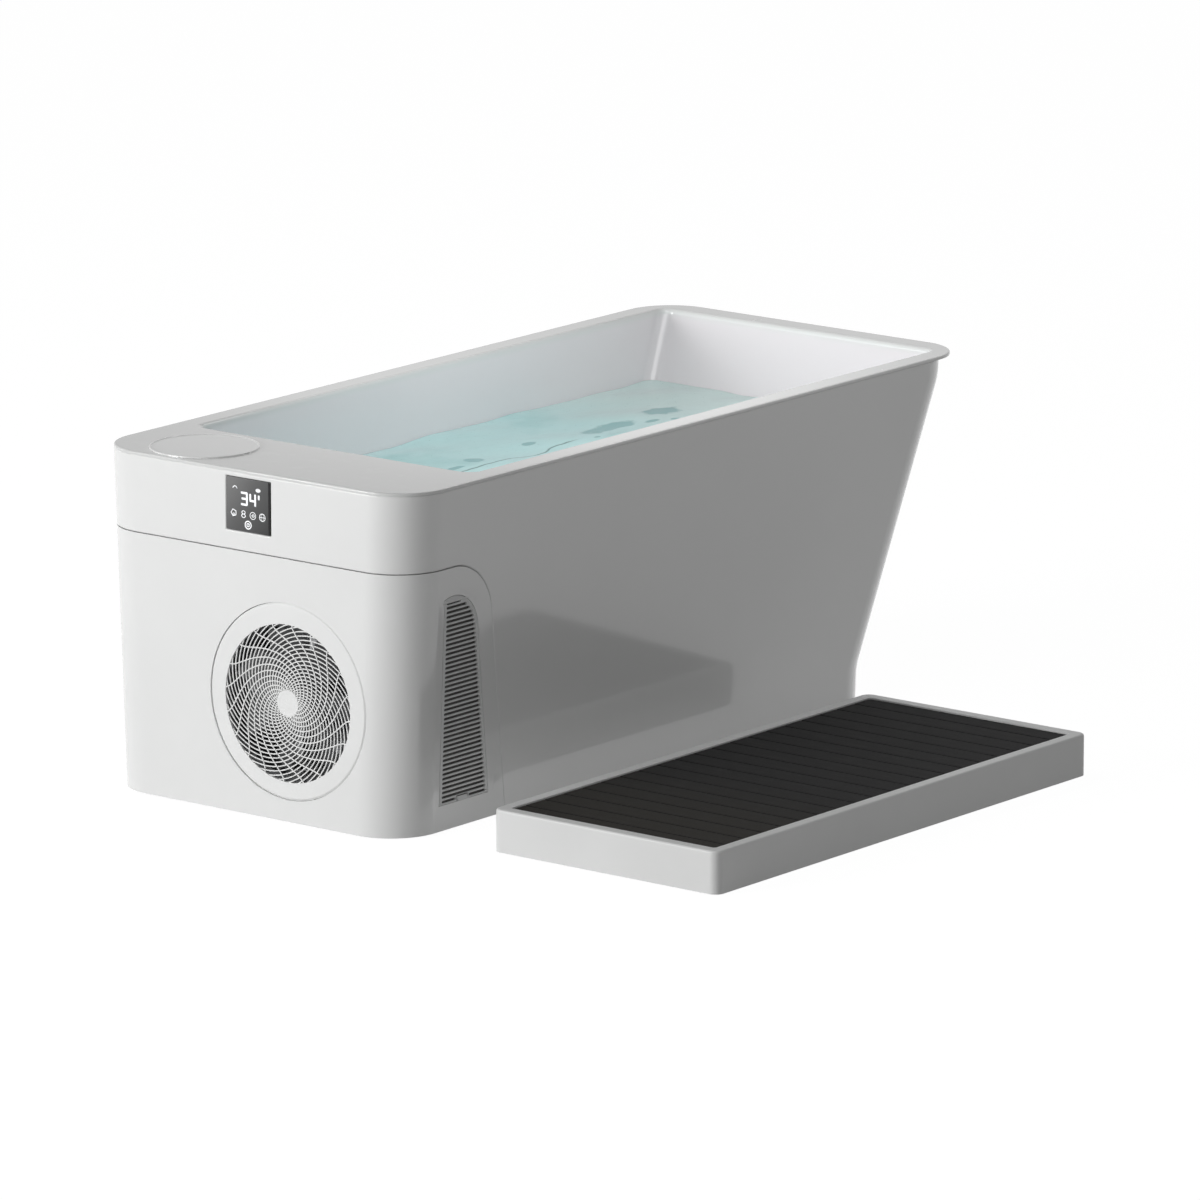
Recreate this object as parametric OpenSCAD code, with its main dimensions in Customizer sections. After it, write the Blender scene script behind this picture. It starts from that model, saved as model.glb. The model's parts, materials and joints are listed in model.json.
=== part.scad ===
// Cold plunge tub with a built-in chiller, and the free-standing step beside it.
// Sizes are in millimetres. The origin is on the floor under the middle of the tub,
// +Y runs to the slanted foot end, +X to the step and +Z up.

/* [Tub] */
// Length over the rim
tub_length = 1700; // [1600:10:1850]
// Width over the rim
tub_width = 750; // [720:5:800]
// Height of the rim above the floor
tub_height = 645; // [630:5:680]
// Radius of the four upright corners
corner_radius = 99; // [85:1:105]
// How far each side wall comes in from the rim to the floor
side_lean = 24; // [12:1:30]
// Thickness of the outer shells
shell_wall = 6; // [5:0.5:7]
// Gap between the floor and the lower edge of the skirt
floor_gap = 4; // [2:1:8]
// Height of the upright plinth at the foot end
plinth_height = 72; // [60:1:90]
// How far the foot end comes in from its top band to the plinth
end_lean = 229; // [180:1:240]
// Height of the upright band under the foot-end rim
band_depth = 40; // [30:1:50]
// How far the rim stands out past the foot-end wall
end_overhang = 35; // [20:1:45]
// Thickness of the rim and deck
rim_thickness = 6; // [5:0.5:9]

/* [Basin] */
// Length of the deck over the chiller
deck_length = 231; // [225:1:245]
// Width of the rim along the sides
side_rim = 38; // [34:1:50]
// Width of the rim at the foot end
end_rim = 44; // [43:1:60]
// Thickness of the insulation under the basin's floor
insulation_thickness = 34; // [25:1:45]
// Thickness of the basin
basin_wall = 6; // [5:0.5:7]
// Radius of the roll from the rim into the basin
basin_lip = 9; // [7:1:12]
// How far each side of the basin comes in on its way down
side_draft = 45; // [30:1:60]
// How far the head of the basin comes in on its way down
head_draft = 28; // [20:1:34]
// How far the foot end of the basin comes in on its way down
foot_draft = 252; // [200:1:260]
// Radius of the basin's corners at the head
head_radius = 30; // [28:1:50]
// Radius of the basin's corners at the foot end
foot_radius = 36; // [30:1:60]
// Radius between the basin's walls and floor
floor_radius = 26; // [18:1:27]

/* [Equipment cover] */
// Distance of the seam over the cover from the rim
seam_drop = 150.5; // [145:0.5:155]
// Length of the level part of the seam on the sides
seam_run = 138; // [132:1:145]
// Radius of the seam's bend on the sides
seam_radius = 110; // [105:1:118]
// Slant of the seam's rear edge in degrees
seam_slant = 8; // [5:0.5:10]
// Width of the seam
seam_gap = 1.5; // [1:0.1:2.5]

/* [Fan] */
// Space between the grille's round panel and the tub's corner
fan_edge = 2.8; // [2:0.1:20]
// Space between the round panel and the seam over it
fan_above = 83; // [75:0.1:100]
// Space between the floor and the round panel
fan_below = 45.1; // [40:0.1:60]
// Width of the panel round the open grille
panel_border = 35.3; // [30:0.1:45]
// Radius of the grille's middle disc
grille_hub_radius = 25; // [20:1:30]
// Number of spiral ribs
rib_count = 32; // [20:1:36]
// How far the fan's blades stay inside the open grille
blade_inset = 13.9; // [12:0.1:25]
// Number of blades
blade_count = 7; // [5:1:9]

/* [Side vents] */
// Distance of the vent's upright edge from the head end
vent_start = 113.5; // [112:0.5:118]
// Width of the vent along its lower edge
vent_width = 141; // [130:1:144]
// Height of the vent's lower edge
vent_low = 52; // [48:1:60]
// Distance between the vent's top and the seam over it
vent_drop = 54.5; // [50:0.5:75]
// Radius of the vent's arched shoulder
vent_radius = 62; // [55:1:66]
// Distance between louvres
louvre_pitch = 8.63; // [8:0.01:12]

/* [Filter] */
// Distance of the filter from the tub's left side
filter_from_side = 178.7; // [175:0.1:185]
// Distance of the filter from the head end
filter_from_head = 109.5; // [108:0.5:112]
// Radius of the cap on the deck
cap_radius = 102.8; // [100:0.1:104]
// How far the cap stands above the deck
cap_rise = 4; // [3:0.5:6]
// Outer radius of the filter housing
filter_housing_radius = 88; // [86:0.5:89]
// Space between the compressor and the filter housing over it
filter_space = 64; // [60:1:80]
// Outer radius of the filter cartridge
cartridge_radius = 70; // [60:1:76]
// Number of pleats round the cartridge
pleat_count = 36; // [24:1:40]

/* [Display] */
// Width of the display glass
display_width = 104.6; // [95:0.1:110]
// Height of the display glass
display_height = 98.6; // [90:0.1:102]
// Distance of the display's middle from the rim
display_drop = 64.9; // [62:0.1:68]

/* [Step] */
// Width of the step
step_width = 510; // [450:5:560]
// Length of the step
step_length = 1125; // [1000:5:1200]
// Height of the step
step_height = 81; // [76:1:95]
// Free space between the tub's rim and the step
step_gap = 133; // [120:1:200]
// Distance of the step's near end from the tub's head end
step_from_head = 71; // [40:1:120]
// Width of the step's rim
step_rim = 24; // [18:1:30]
// Radius of the step's upright corners
step_corner = 18; // [12:1:22]
// Distance between the mat's grooves
plank_pitch = 54.8; // [45:0.1:70]

/* [Hidden] */

cut = 1;              // overrun of every cut
slack = 0.3;          // gap between neighbours that are not a fit
bore_gap = 0.05;      // radial gap of a shaft that runs in its bore
press_gap = 0.02;     // radial gap of a piece that is pressed on a shaft
corner_steps = 10;    // facets in each quarter corner of the shells
arc_steps = 12;       // points in an arc of an outline
$fn = 96;

// Places that most pieces share
head = -tub_length / 2;
foot = tub_length / 2;
rim_under = tub_height - rim_thickness;
band_low = rim_under - band_depth + rim_thickness;
wall_end = foot - end_overhang;
seam_height = tub_height - seam_drop;
vent_high = seam_height - vent_drop;
display_z = tub_height - display_drop;
fan_panel_radius = (seam_height - fan_above - fan_below) / 2;
fan_z = fan_below + fan_panel_radius;
fan_x = tub_width / 2 - corner_radius - fan_edge - fan_panel_radius;
grille_radius = fan_panel_radius - panel_border;
blade_radius = grille_radius - blade_inset;
filter_x = filter_from_side - tub_width / 2;
lean_angle = atan(side_lean / tub_height);
function from_head(distance) = head + distance;
function half_width(z) = tub_width / 2 - side_lean * (1 - z / tub_height);
function end_wall(z) =
    wall_end - end_lean * min(1, max(0, (band_low - z) / (band_low - plinth_height)));

// Basin
edge_fillet = 3;      // radius of the rim's outer edge
wall_top = tub_height - basin_lip;
function draft(z) = (wall_top - z) / (wall_top - basin_floor);
function basin_half(z) = tub_width / 2 - side_rim - basin_lip - side_draft * draft(z);
function basin_head(z) = from_head(deck_length) + basin_lip + head_draft * draft(z);
function basin_foot(z) = foot - end_rim - basin_lip - foot_draft * draft(z);

// Base frame
foot_pad_radius = 25;
foot_pad_height = 10;
foot_stud_radius = 6;
foot_stud_length = 26;
locknut_radius = 11;
locknut_height = 8;
rail_z = foot_pad_height + 2 + locknut_height;
rail_width = 40;
rail_height = 30;
rail_wall = 2.5;
rail_from_side = 125; // distance of a rail's middle from the tub's side
rail_spread = tub_width - 2 * rail_from_side;
rail_start = 60;      // distance of the rails' ends from the head end
rail_end_space = 30;  // free space between the rails' ends and the foot-end wall
beam_z = rail_z + rail_height;
beam_width = 40;
beam_height = 30;
beam_wall = 2.5;
beam_overhang = 45;   // how far a cross member reaches past the rail's middle
beam_from_drain = 77; // distance of the front cross member from the drain
beam_from_end = 57;   // distance of the rear cross member from the rails' ends
foot_from_start = 16.5;
foot_from_end = 23;
middle_foot_share = -0.02;
insulation_z = beam_z + beam_height;
basin_floor = insulation_z + insulation_thickness + basin_wall;
head_wall_angle = atan(head_draft / (wall_top - basin_floor));
insulation_edge = 12; // how far the slab stays inside the basin's floor
drain_from_head = 400;
rail_end = end_wall(plinth_height) - shell_wall - rail_end_space;
rail_length = rail_end - from_head(rail_start);
beam_places = [from_head(drain_from_head - beam_from_drain), 0, rail_end - beam_from_end];
foot_places = [from_head(rail_start + foot_from_start), middle_foot_share * tub_length,
    rail_end - foot_from_end];

// Equipment tray and the cover's fixing
tray_z = beam_z;
tray_thickness = 3;
tray_side_space = 4;
tray_depth = 225;
tray_lip = 12;
flange_depth = 30;
flange_thickness = 4;
flange_span_share = 0.8;
screw_radius = 3;
screw_head_radius = 6;
screw_head_height = 3;
screw_tip = 4;        // how far a screw reaches past the tray
screw_from_wall = 16;
screw_places_share = [-0.32, -0.12, 0.12, 0.32];

// Fan
grille_thickness = 6;
panel_gap = 0.8;      // groove round the grille's panel
rib_width = 2.2;
rib_depth = 2.5;
rib_sweep = 118;      // degrees that a rib turns from hub to ring
ring_width = 2.4;
ring_depth = 2.5;
ring_places_share = [0.36, 0.56, 0.78];
shroud_bore = blade_radius + 5;
shroud_wall = 3;
shroud_flange_radius = fan_panel_radius + 12;
shroud_flange = 3;
shroud_depth = 45;
fan_hub_radius = 30;
fan_hub_depth = 32;
fan_set_back = 4;     // space between the grille and the fan
blade_thickness = 2;
blade_chord = 62;
blade_pitch = 28;
shaft_radius = 5;
shaft_stub = 24;      // length of the shaft inside the motor
motor_radius = 38;
motor_depth = 34;
motor_gap = 4;        // space between the fan's hub and the motor
motor_y = from_head(shell_wall + fan_set_back + fan_hub_depth + motor_gap);
fan_y = from_head(shell_wall + fan_set_back);
bracket_arm = 14;
bracket_thickness = 4;
bracket_ring = 5;
bracket_y = from_head(shell_wall) + shroud_depth;

// Condenser
condenser_y = motor_y + motor_depth + 5;
condenser_depth = 25;
condenser_width = 262;
condenser_drop = 197.5;  // how far the core is shorter than the seam is high
condenser_height = seam_height - condenser_drop;
condenser_stand = 3.3;  // space between the tray and the core
condenser_plate = 3;
fin_count = 26;
fin_slot_share = 0.62;
fin_slot_depth = 9;
condenser_top = tray_z + tray_thickness + condenser_stand + condenser_height;
bend_radius = 4.5;
bend_count = 6;
bend_reach = 9;
bend_pitch = condenser_height / (2 * bend_count);
// Height of the free space over the bends numbered below i
function over_bend(i) = condenser_top - condenser_height + 2 * i * bend_pitch;

// Compressor
compressor_from_side = 130;
compressor_x = compressor_from_side - tub_width / 2;
compressor_from_head = 120;
compressor_radius = 58;
compressor_height = 172;
compressor_dome = 22;
compressor_top_radius = 32;
compressor_foot_radius = 70;
compressor_foot = 4;
mount_radius = 12;
mount_height = 15;
mount_count = 3;
mount_ring = 52;
compressor_z = tray_z + tray_thickness + mount_height;
compressor_top = compressor_z + compressor_foot + compressor_height + compressor_dome;

// Heat exchanger
exchanger_from_side = 108;
exchanger_x = tub_width / 2 - exchanger_from_side;
exchanger_from_head = 165;
exchanger_radius = 34;
exchanger_height = 290;
exchanger_base_radius = 38;
exchanger_base = 5;
exchanger_boss_radius = 16;
exchanger_boss = 8;
exchanger_z = tray_z + tray_thickness;

// Pump
pump_from_head = 165;
pump_z = 103;
pump_from_compressor = 95;
pump_x = compressor_x + pump_from_compressor;   // the pump's inlet face
volute_radius = 42;
volute_depth = 42;
volute_wall = 4;
pump_motor_radius = 36;
pump_motor_length = 140;
pump_foot_width = 60;
impeller_radius = 32;
impeller_depth = 14;
impeller_hub_radius = 10;
impeller_disc = 2.5;
vane_count = 6;
vane_thickness = 2;
pump_shaft_radius = 5;
pump_shaft_stub = 25;

// Filter
suction_rise = 70;    // height of the suction pipe over the filter housing's bottom
filter_y = from_head(filter_from_head);
filter_low = compressor_top + filter_space;
filter_depth = rim_under - filter_low;
suction_z = filter_low + suction_rise;
filter_wall = 4;
filter_flange = 5;
filter_flange_radius = filter_housing_radius + 12;
deck_hole_radius = 91;
cap_spigot_radius = filter_housing_radius - filter_wall - 2;
cap_spigot_depth = rim_thickness + 8;
cap_crown = 1.5;
cap_edge = 3;
cap_notch_width = 16;
cap_notch_depth = 5;
cap_stem_radius = 11;
seal_radius = 2.2;
seal_below = 4;       // depth of the seal's middle below the deck
seal_space = 0.1;     // gap between the seal and the housing
cartridge_end = 8;
cartridge_low_space = 14;
cartridge_high_space = 34;
cartridge_bore = 20;
pleat_depth = 7;

// Water pipes
pipe_radius = 15;
thin_pipe_radius = 12;
elbow_share = 1.22;   // radius of an elbow, as a share of its pipe's
elbow_turn = [55, 0, 45];
inlet_pipe_space = 25;
inlet_pipe_x = pump_x - inlet_pipe_space;
inlet_pipe_from_head = 166;
outlet_rise = 182;
return_from_side = 170;
return_x = tub_width / 2 - return_from_side;
return_rise = 77;     // height of the return pipe over the heat exchanger
return_z = exchanger_z + exchanger_height + return_rise;
fitting_radius = 34;
fitting_flange = 4;
fitting_bore = 17;
fitting_neck = 21;
fitting_tail = 14;
fitting_slots = 4;
slot_width = 4;
slot_pitch = 10;
jet_eye_radius = 9;

// Drain
drain_flange_radius = 34;
drain_flange = 3;
drain_neck = 20;
drain_bore = 16;
drain_tail = 28;
drain_collar = 4;     // collar that joins the pipe to the fitting's tail
plug_radius = 27;
plug_rise = 4;
plug_stem = 5;
plug_stem_length = 26;
plug_guide = 9;
plug_spoke = 4;
drain_pipe_radius = 13;
drain_z = 66;
valve_radius = 17;
valve_length = 40;
valve_space = 4;      // between the valve and the inside of the skirt
tail_radius = 12.5;
stem_radius = 4;
stem_height = 7;
stem_depth = 10;
lever_length = 58;
lever_width = 12;
lever_thickness = 4;
lever_hub = 9;
access_before = 45;
access_after = 78;
access_height = 118;

// Power inlet
inlet_from_head = 350;
inlet_z = 180;
inlet_radius = 12;
inlet_nut_radius = 18;
inlet_nut = 8;
inlet_out = 10;

// Display and controls
glass_thickness = 4;
glass_gap = 0.5;
glass_corner = 3;
housing_border = 8;
housing_depth = 24;
box_from_side = 160;
box_x = tub_width / 2 - box_from_side;
box_from_head = 60;
box_width = 200;
box_depth = 120;
box_space = 65;       // space between the return pipe's middle and the box
box_height = rim_under - return_z - box_space;
box_wall = 3;
board_thickness = 1.6;
board_border = 12;
board_stand_off = 10;
board_stand_radius = 4;
board_stand_share = 0.8;
lid_thickness = 3;

// Side vents
vent_gap = 1.5;       // space round the vent in its opening
vent_frame = 5;       // width of the vent's frame
vent_depth = 6;       // thickness of the vent's frame
vent_foot_bar = 16;   // height of the bar under the louvres
vent_edge_slant = 7.6;
louvre_thickness = 1.6;
louvre_chord = 7;
louvre_tilt = 40;
hinge_from_top = 10;
hinge_pin_radius = 1.8;
hinge_pin_length = 4;
latch_width = 36;
latch_height = 10;
latch_depth = 5;
latch_gap = 0.4;
latch_lip = 2;        // rim that keeps the latch in its slot
latch_middle = 66;    // from the vent's upright edge to the latch's middle
dust_depth = 4;
dust_inset = 8;
dust_behind = 0.3;    // space between the louvres and the dust filter

// Step
step_x = tub_width / 2 + step_gap;
step_y = from_head(step_from_head);
step_wall = 6;
step_floor = 6;
mat_thickness = 12;
mat_drop = 3;         // how far the mat lies below the step's rim
mat_gap = 1;
first_plank = 40;     // width of the mat's plank at the near end
groove_width = 3;
groove_depth = 3;
step_floor_z = step_height - mat_drop - mat_thickness - step_floor;
step_foot_height = 4;
step_foot_radius = 14;
step_foot_inset = 30;
rib_thickness = 8;
step_rib_places_share = [-0.25, 0, 0.25];
step_fillet = 2.5;

// A quarter of a rounded outline at height z, from the given direction
function quarter(x, y, r, from, z) = [for (i = [0 : corner_steps])
    let (a = from + 90 * i / corner_steps) [x + r * cos(a), y + r * sin(a), z]];

// A rounded outline at height z that is the same to the left and right
function outline(x, y0, y1, r0, r1, z) = concat(
    quarter(x - r0, y0 + r0, r0, -90, z), quarter(x - r1, y1 - r1, r1, 0, z),
    quarter(r1 - x, y1 - r1, r1, 90, z), quarter(r0 - x, y0 + r0, r0, 180, z));

// A closed skin over outlines that all have the same number of points
module loft(rings) {
    n = len(rings[0]);
    top = (len(rings) - 1) * n;
    points = [for (ring = rings) each ring];
    sides = [for (k = [0 : len(rings) - 2], i = [0 : n - 1])
        let (a = k * n + i, b = k * n + (i + 1) % n) each [[a, a + n, b], [b, a + n, b + n]]];
    lower = [for (i = [1 : n - 2]) [0, i, i + 1]];
    upper = [for (i = [1 : n - 2]) [top, top + i + 1, top + i]];
    polyhedron(points, concat(lower, sides, upper));
}

// The tub's outer form, drawn in by inset
module tub_form(inset, low, high) {
    function shape(z) = outline(half_width(z) - inset, head + inset, end_wall(z) - inset,
        corner_radius - inset, corner_radius - inset, z);
    loft([for (z = [low, plinth_height, band_low, high]) shape(z)]);
}

module tub_shell(low, high) {
    difference() {
        tub_form(0, low, high);
        tub_form(shell_wall, low - cut, high + cut);
    }
}

// The basin's form, let out by grow, from its floor to the height given
module basin_form(grow, top_rings) {
    function shape(z, g) = outline(basin_half(z) + g, basin_head(z) - g, basin_foot(z) + g,
        head_radius + g, foot_radius + g, z);
    r = floor_radius + grow;
    floor_rings = [for (i = [4 : -1 : 0]) let (a = 90 * i / 4)
        shape(basin_floor + floor_radius - r * sin(a), grow - r * (1 - cos(a)))];
    loft(concat(floor_rings, [for (t = top_rings) shape(t[0], t[1])]));
}

// Puts a piece that is drawn along +Z on an axis along +Y or +X
module along_y() { rotate([-90, 0, 0]) children(); }
module along_x() { rotate([0, 90, 0]) children(); }

// Draws an outline of (y, z) points, extruded along +X
module side_extrude(depth) { rotate([90, 0, 90]) linear_extrude(depth) children(); }

// Draws an outline of (x, z) points, extruded along +Y
module front_extrude(depth) {
    mirror([0, 1, 0]) rotate([90, 0, 0]) linear_extrude(depth) children();
}

module rounded_box(size, r) {
    linear_extrude(size.z) rounded_plate([size.x, size.y], r);
}

module rounded_plate(size, r) {
    square([size.x, size.y - 2 * r], center = true);
    square([size.x - 2 * r, size.y], center = true);
    for (x = [-1, 1], y = [-1, 1]) translate([x * (size.x / 2 - r), y * (size.y / 2 - r)]) circle(r);
}

// A straight round bar between two points
module bar(a, b, r) {
    v = b - a;
    translate(a) rotate([0, acos(v.z / norm(v)), atan2(v.y, v.x)]) cylinder(r = r, h = norm(v));
}

// A pipe along a list of points, with a round elbow at each turn. The elbows' poles face away
// from the pipes.
module pipe(points, r) {
    for (i = [0 : len(points) - 2]) bar(points[i], points[i + 1], r);
    if (len(points) > 2)
        for (i = [1 : len(points) - 2]) translate(points[i]) rotate(elbow_turn) sphere(r * elbow_share);
}

// Stands a piece on the outer face of the right side wall: x outward, y along, z up the wall
module on_right_wall() { translate([half_width(0), 0, 0]) rotate([0, lean_angle, 0]) children(); }
module on_left_wall() { mirror([1, 0, 0]) on_right_wall() children(); }

// Stands a piece on the basin's head wall at (x, z): its +Z points into the compartment
module on_head_wall(x, z) {
    translate([x, basin_head(z) - basin_wall, z]) rotate([90 + head_wall_angle, 0, 0]) children();
}

// The cover's outline in the side view, drawn in by inset
function seam_points(inset) =
    let (r = seam_radius - inset,
        middle = [from_head(seam_run), seam_height - seam_radius],
        bend = middle + r * [cos(seam_slant), sin(seam_slant)])
    concat([[head - cut, -cut], [bend.x + (bend.y + cut) * tan(seam_slant), -cut]],
        [for (i = [0 : arc_steps]) let (a = seam_slant + (90 - seam_slant) * i / arc_steps)
            middle + r * [cos(a), sin(a)]],
        [[head - cut, seam_height - inset]]);

module cover_region(inset) {
    translate([-tub_width, 0, 0]) side_extrude(2 * tub_width) polygon(seam_points(inset));
}

module basin() {
    color("white") difference() {
        union() {
            loft([for (t = [[0, 0], [1, 0], [1, 1], [1, 2], [1, 3]])
                let (a = 30 * t[1], in = edge_fillet * (1 - cos(a)),
                    z = t[0] == 0 ? rim_under : tub_height - edge_fillet * (1 - sin(a)))
                outline(half_width(z) - in, head + in, foot - in,
                    corner_radius - in, corner_radius - in, z)]);
            basin_form(basin_wall, [[wall_top, basin_wall], [tub_height - rim_thickness / 2, basin_wall]]);
        }
        basin_form(0, concat([for (i = [0 : 4]) let (a = 90 * i / 4)
            [wall_top + basin_lip * sin(a), basin_lip * (1 - cos(a))]],
            [[tub_height + cut, basin_lip]]));
        translate([filter_x, filter_y, rim_under - cut])
            cylinder(r = deck_hole_radius, h = rim_thickness + 2 * cut);
        translate([0, from_head(drain_from_head), basin_floor - basin_wall - cut])
            cylinder(r = drain_neck + slack, h = basin_wall + 2 * cut);
        for (p = [[filter_x, suction_z], [return_x, return_z]])
            on_head_wall(p[0], p[1]) translate([0, 0, -basin_wall - cut])
                cylinder(r = fitting_neck + slack, h = basin_wall + 2 * cut);
    }
}

module outer_skirt() {
    color("whitesmoke") difference() {
        tub_shell(floor_gap, rim_under);
        cover_region(0);
        translate([0, head - cut, display_z]) front_extrude(shell_wall + 2 * cut)
            square([display_width + 2 * glass_gap, display_height + 2 * glass_gap], center = true);
        translate([-tub_width / 2 - cut, from_head(inlet_from_head), inlet_z])
            along_x() cylinder(r = inlet_radius + slack, h = tub_width / 4);
        translate([-tub_width / 2 - cut, from_head(drain_from_head - access_before), -cut])
            cube([tub_width / 4, access_before + access_after, access_height + cut]);
    }
}

module equipment_cover() {
    color("whitesmoke") {
        difference() {
            intersection() {
                tub_shell(floor_gap, tub_height);
                cover_region(seam_gap);
            }
            translate([fan_x, head - cut, fan_z]) along_y()
                cylinder(r = fan_panel_radius + panel_gap, h = shell_wall + 2 * cut);
            on_right_wall() vent_opening();
            on_left_wall() vent_opening();
        }
        difference() {
            translate([-tub_width * flange_span_share / 2, from_head(shell_wall),
                tray_z - flange_thickness])
                cube([tub_width * flange_span_share, flange_depth, flange_thickness]);
            cover_screw_places() cylinder(r = screw_radius + slack, h = 4 * flange_thickness, center = true);
        }
    }
}

module cover_screw_places() {
    for (share = screw_places_share)
        translate([share * tub_width, from_head(shell_wall + screw_from_wall), tray_z]) children();
}

module cover_screws() {
    color("silver") cover_screw_places() {
        translate([0, 0, -flange_thickness - screw_head_height])
            cylinder(r = screw_head_radius, h = screw_head_height);
        translate([0, 0, -flange_thickness])
            cylinder(r = screw_radius, h = flange_thickness + tray_thickness + screw_tip);
    }
}

// Base frame
module base_rail(side) {
    color("gray") difference() {
        translate([side * rail_spread / 2 - rail_width / 2, from_head(rail_start), rail_z])
            cube([rail_width, rail_length, rail_height]);
        translate([side * rail_spread / 2 - rail_width / 2 + rail_wall,
            from_head(rail_start) - cut, rail_z + rail_wall])
            cube([rail_width - 2 * rail_wall, rail_length + 2 * cut, rail_height - 2 * rail_wall]);
        for (y = foot_places) translate([side * rail_spread / 2, y, rail_z - cut])
                cylinder(r = foot_stud_radius + slack, h = rail_wall + 2 * cut);
    }
}

module base_rail_right() { base_rail(1); }
module base_rail_left() { base_rail(-1); }

module cross_member(y, tapped) {
    length = rail_spread + 2 * beam_overhang;
    color("gray") translate([0, y, beam_z]) difference() {
        translate([-length / 2, -beam_width / 2, 0]) cube([length, beam_width, beam_height]);
        translate([-length / 2 - cut, -beam_width / 2 + beam_wall, beam_wall])
            cube([length + 2 * cut, beam_width - 2 * beam_wall, beam_height - 2 * beam_wall]);
        if (tapped) translate([0, 0, -cut])
            cylinder(r = foot_stud_radius + slack, h = beam_wall + 2 * cut);
    }
}

module cross_member_front() { cross_member(beam_places[0], false); }
module cross_member_middle() { cross_member(beam_places[1], true); }
module cross_member_rear() { cross_member(beam_places[2], false); }

module rail_feet() {
    for (side = [-1, 1], y = foot_places) translate([side * rail_spread / 2, y, 0]) children();
}

// A pad with a threaded stud that reaches the height given
module levelling_foot(stud_top) {
    cylinder(r1 = foot_pad_radius, r2 = foot_pad_radius - foot_pad_height / 2, h = foot_pad_height);
    translate([0, 0, foot_pad_height / 2])
        cylinder(r = foot_stud_radius, h = stud_top - foot_pad_height / 2);
}

module levelling_feet() {
    color("dimgray") rail_feet() levelling_foot(foot_pad_height + foot_stud_length);
}

module foot_locknuts() {
    color("silver") {
        rail_feet() locknut(rail_z);
        translate([0, beam_places[1], 0]) locknut(beam_z);
    }
}

module locknut(seat) {
    translate([0, 0, seat - locknut_height]) difference() {
        cylinder(r = locknut_radius, h = locknut_height, $fn = 6);
        translate([0, 0, -cut]) cylinder(r = foot_stud_radius + press_gap, h = locknut_height + 2 * cut);
    }
}

module centre_foot() {
    color("dimgray") translate([0, beam_places[1], 0])
        levelling_foot(beam_z + foot_stud_length / 2);
}

module floor_insulation() {
    half = basin_half(basin_floor) - floor_radius - insulation_edge;
    near = basin_head(basin_floor) + floor_radius + insulation_edge;
    far = basin_foot(basin_floor) - floor_radius - insulation_edge;
    color("khaki") difference() {
        translate([-half, near, insulation_z])
            cube([2 * half, far - near, basin_floor - basin_wall - insulation_z]);
        translate([0, from_head(drain_from_head), insulation_z - cut])
            cylinder(r = drain_flange_radius + drain_flange, h = basin_floor - insulation_z);
    }
}

module equipment_tray() {
    half = half_width(tray_z) - shell_wall - tray_side_space;
    corner = corner_radius - shell_wall - tray_side_space;
    near = head + shell_wall + slack;
    color("lightgray") difference() {
        union() {
            translate([0, near + tray_depth / 2, tray_z])
                rounded_box([2 * half, tray_depth, tray_thickness], corner);
            translate([-half, near + tray_depth / 2, tray_z])
                cube([2 * half, tray_depth / 2, tray_thickness]);
            translate([-half, near + tray_depth - tray_thickness, tray_z])
                cube([2 * half, tray_thickness, tray_lip]);
        }
        cover_screw_places() translate([0, 0, -cut])
            cylinder(r = screw_radius + press_gap, h = tray_thickness + 2 * cut);
    }
}

// Fan
// One rib of the grille, from the middle disc to the ring
function spiral(side) = [for (i = [0 : arc_steps])
    let (t = i / arc_steps, r = grille_hub_radius * 0.9 + (grille_radius * 1.02 - grille_hub_radius * 0.9) * t,
        a = rib_sweep * pow(t, 0.72) + side * rib_width / 2 / r * 180 / PI)
    [r * cos(a), r * sin(a)]];

module fan_grille() {
    rib = concat(spiral(-1), [for (i = [arc_steps : -1 : 0]) spiral(1)[i]]);
    color("white") translate([fan_x, head, fan_z]) along_y() {
        difference() {
            cylinder(r = fan_panel_radius, h = grille_thickness);
            translate([0, 0, -cut]) cylinder(r = grille_radius, h = grille_thickness + 2 * cut);
        }
        cylinder(r = grille_hub_radius, h = grille_thickness / 2);
        for (i = [0 : rib_count - 1]) rotate(360 * i / rib_count)
            linear_extrude(rib_depth) polygon(rib);
        for (share = ring_places_share) translate([0, 0, rib_depth / 2]) difference() {
            cylinder(r = share * grille_radius + ring_width / 2, h = ring_depth);
            translate([0, 0, -cut])
                cylinder(r = share * grille_radius - ring_width / 2, h = ring_depth + 2 * cut);
        }
    }
}

module fan_shroud() {
    color("dimgray") translate([fan_x, from_head(shell_wall), fan_z]) along_y() difference() {
        union() {
            intersection() {
                cylinder(r = shroud_flange_radius, h = shroud_flange);
                translate([-fan_x, fan_z - tray_z - tray_thickness - slack - shroud_flange_radius, 0])
                    cube(2 * [half_width(tray_z) - corner_radius, shroud_flange_radius, shroud_flange],
                        center = true);
            }
            cylinder(r = shroud_bore + shroud_wall, h = shroud_depth);
        }
        translate([0, 0, -cut]) cylinder(r = shroud_bore, h = shroud_depth + 2 * cut);
    }
}

module motor_bracket() {
    color("gray") translate([fan_x, bracket_y, fan_z]) along_y() difference() {
        union() {
            cylinder(r = motor_radius + bracket_ring, h = bracket_thickness);
            for (a = [0, 90]) rotate(a)
                translate([-shroud_bore - shroud_wall, -bracket_arm / 2, 0])
                    cube([2 * (shroud_bore + shroud_wall), bracket_arm, bracket_thickness]);
        }
        translate([0, 0, -cut]) cylinder(r = motor_radius + slack, h = bracket_thickness + 2 * cut);
    }
}

module fan_motor() {
    color("darkslategray") translate([fan_x, motor_y, fan_z]) along_y() difference() {
        cylinder(r = motor_radius, h = motor_depth);
        translate([0, 0, -cut]) cylinder(r = shaft_radius + bore_gap, h = shaft_stub + 2 * cut);
    }
}

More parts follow.
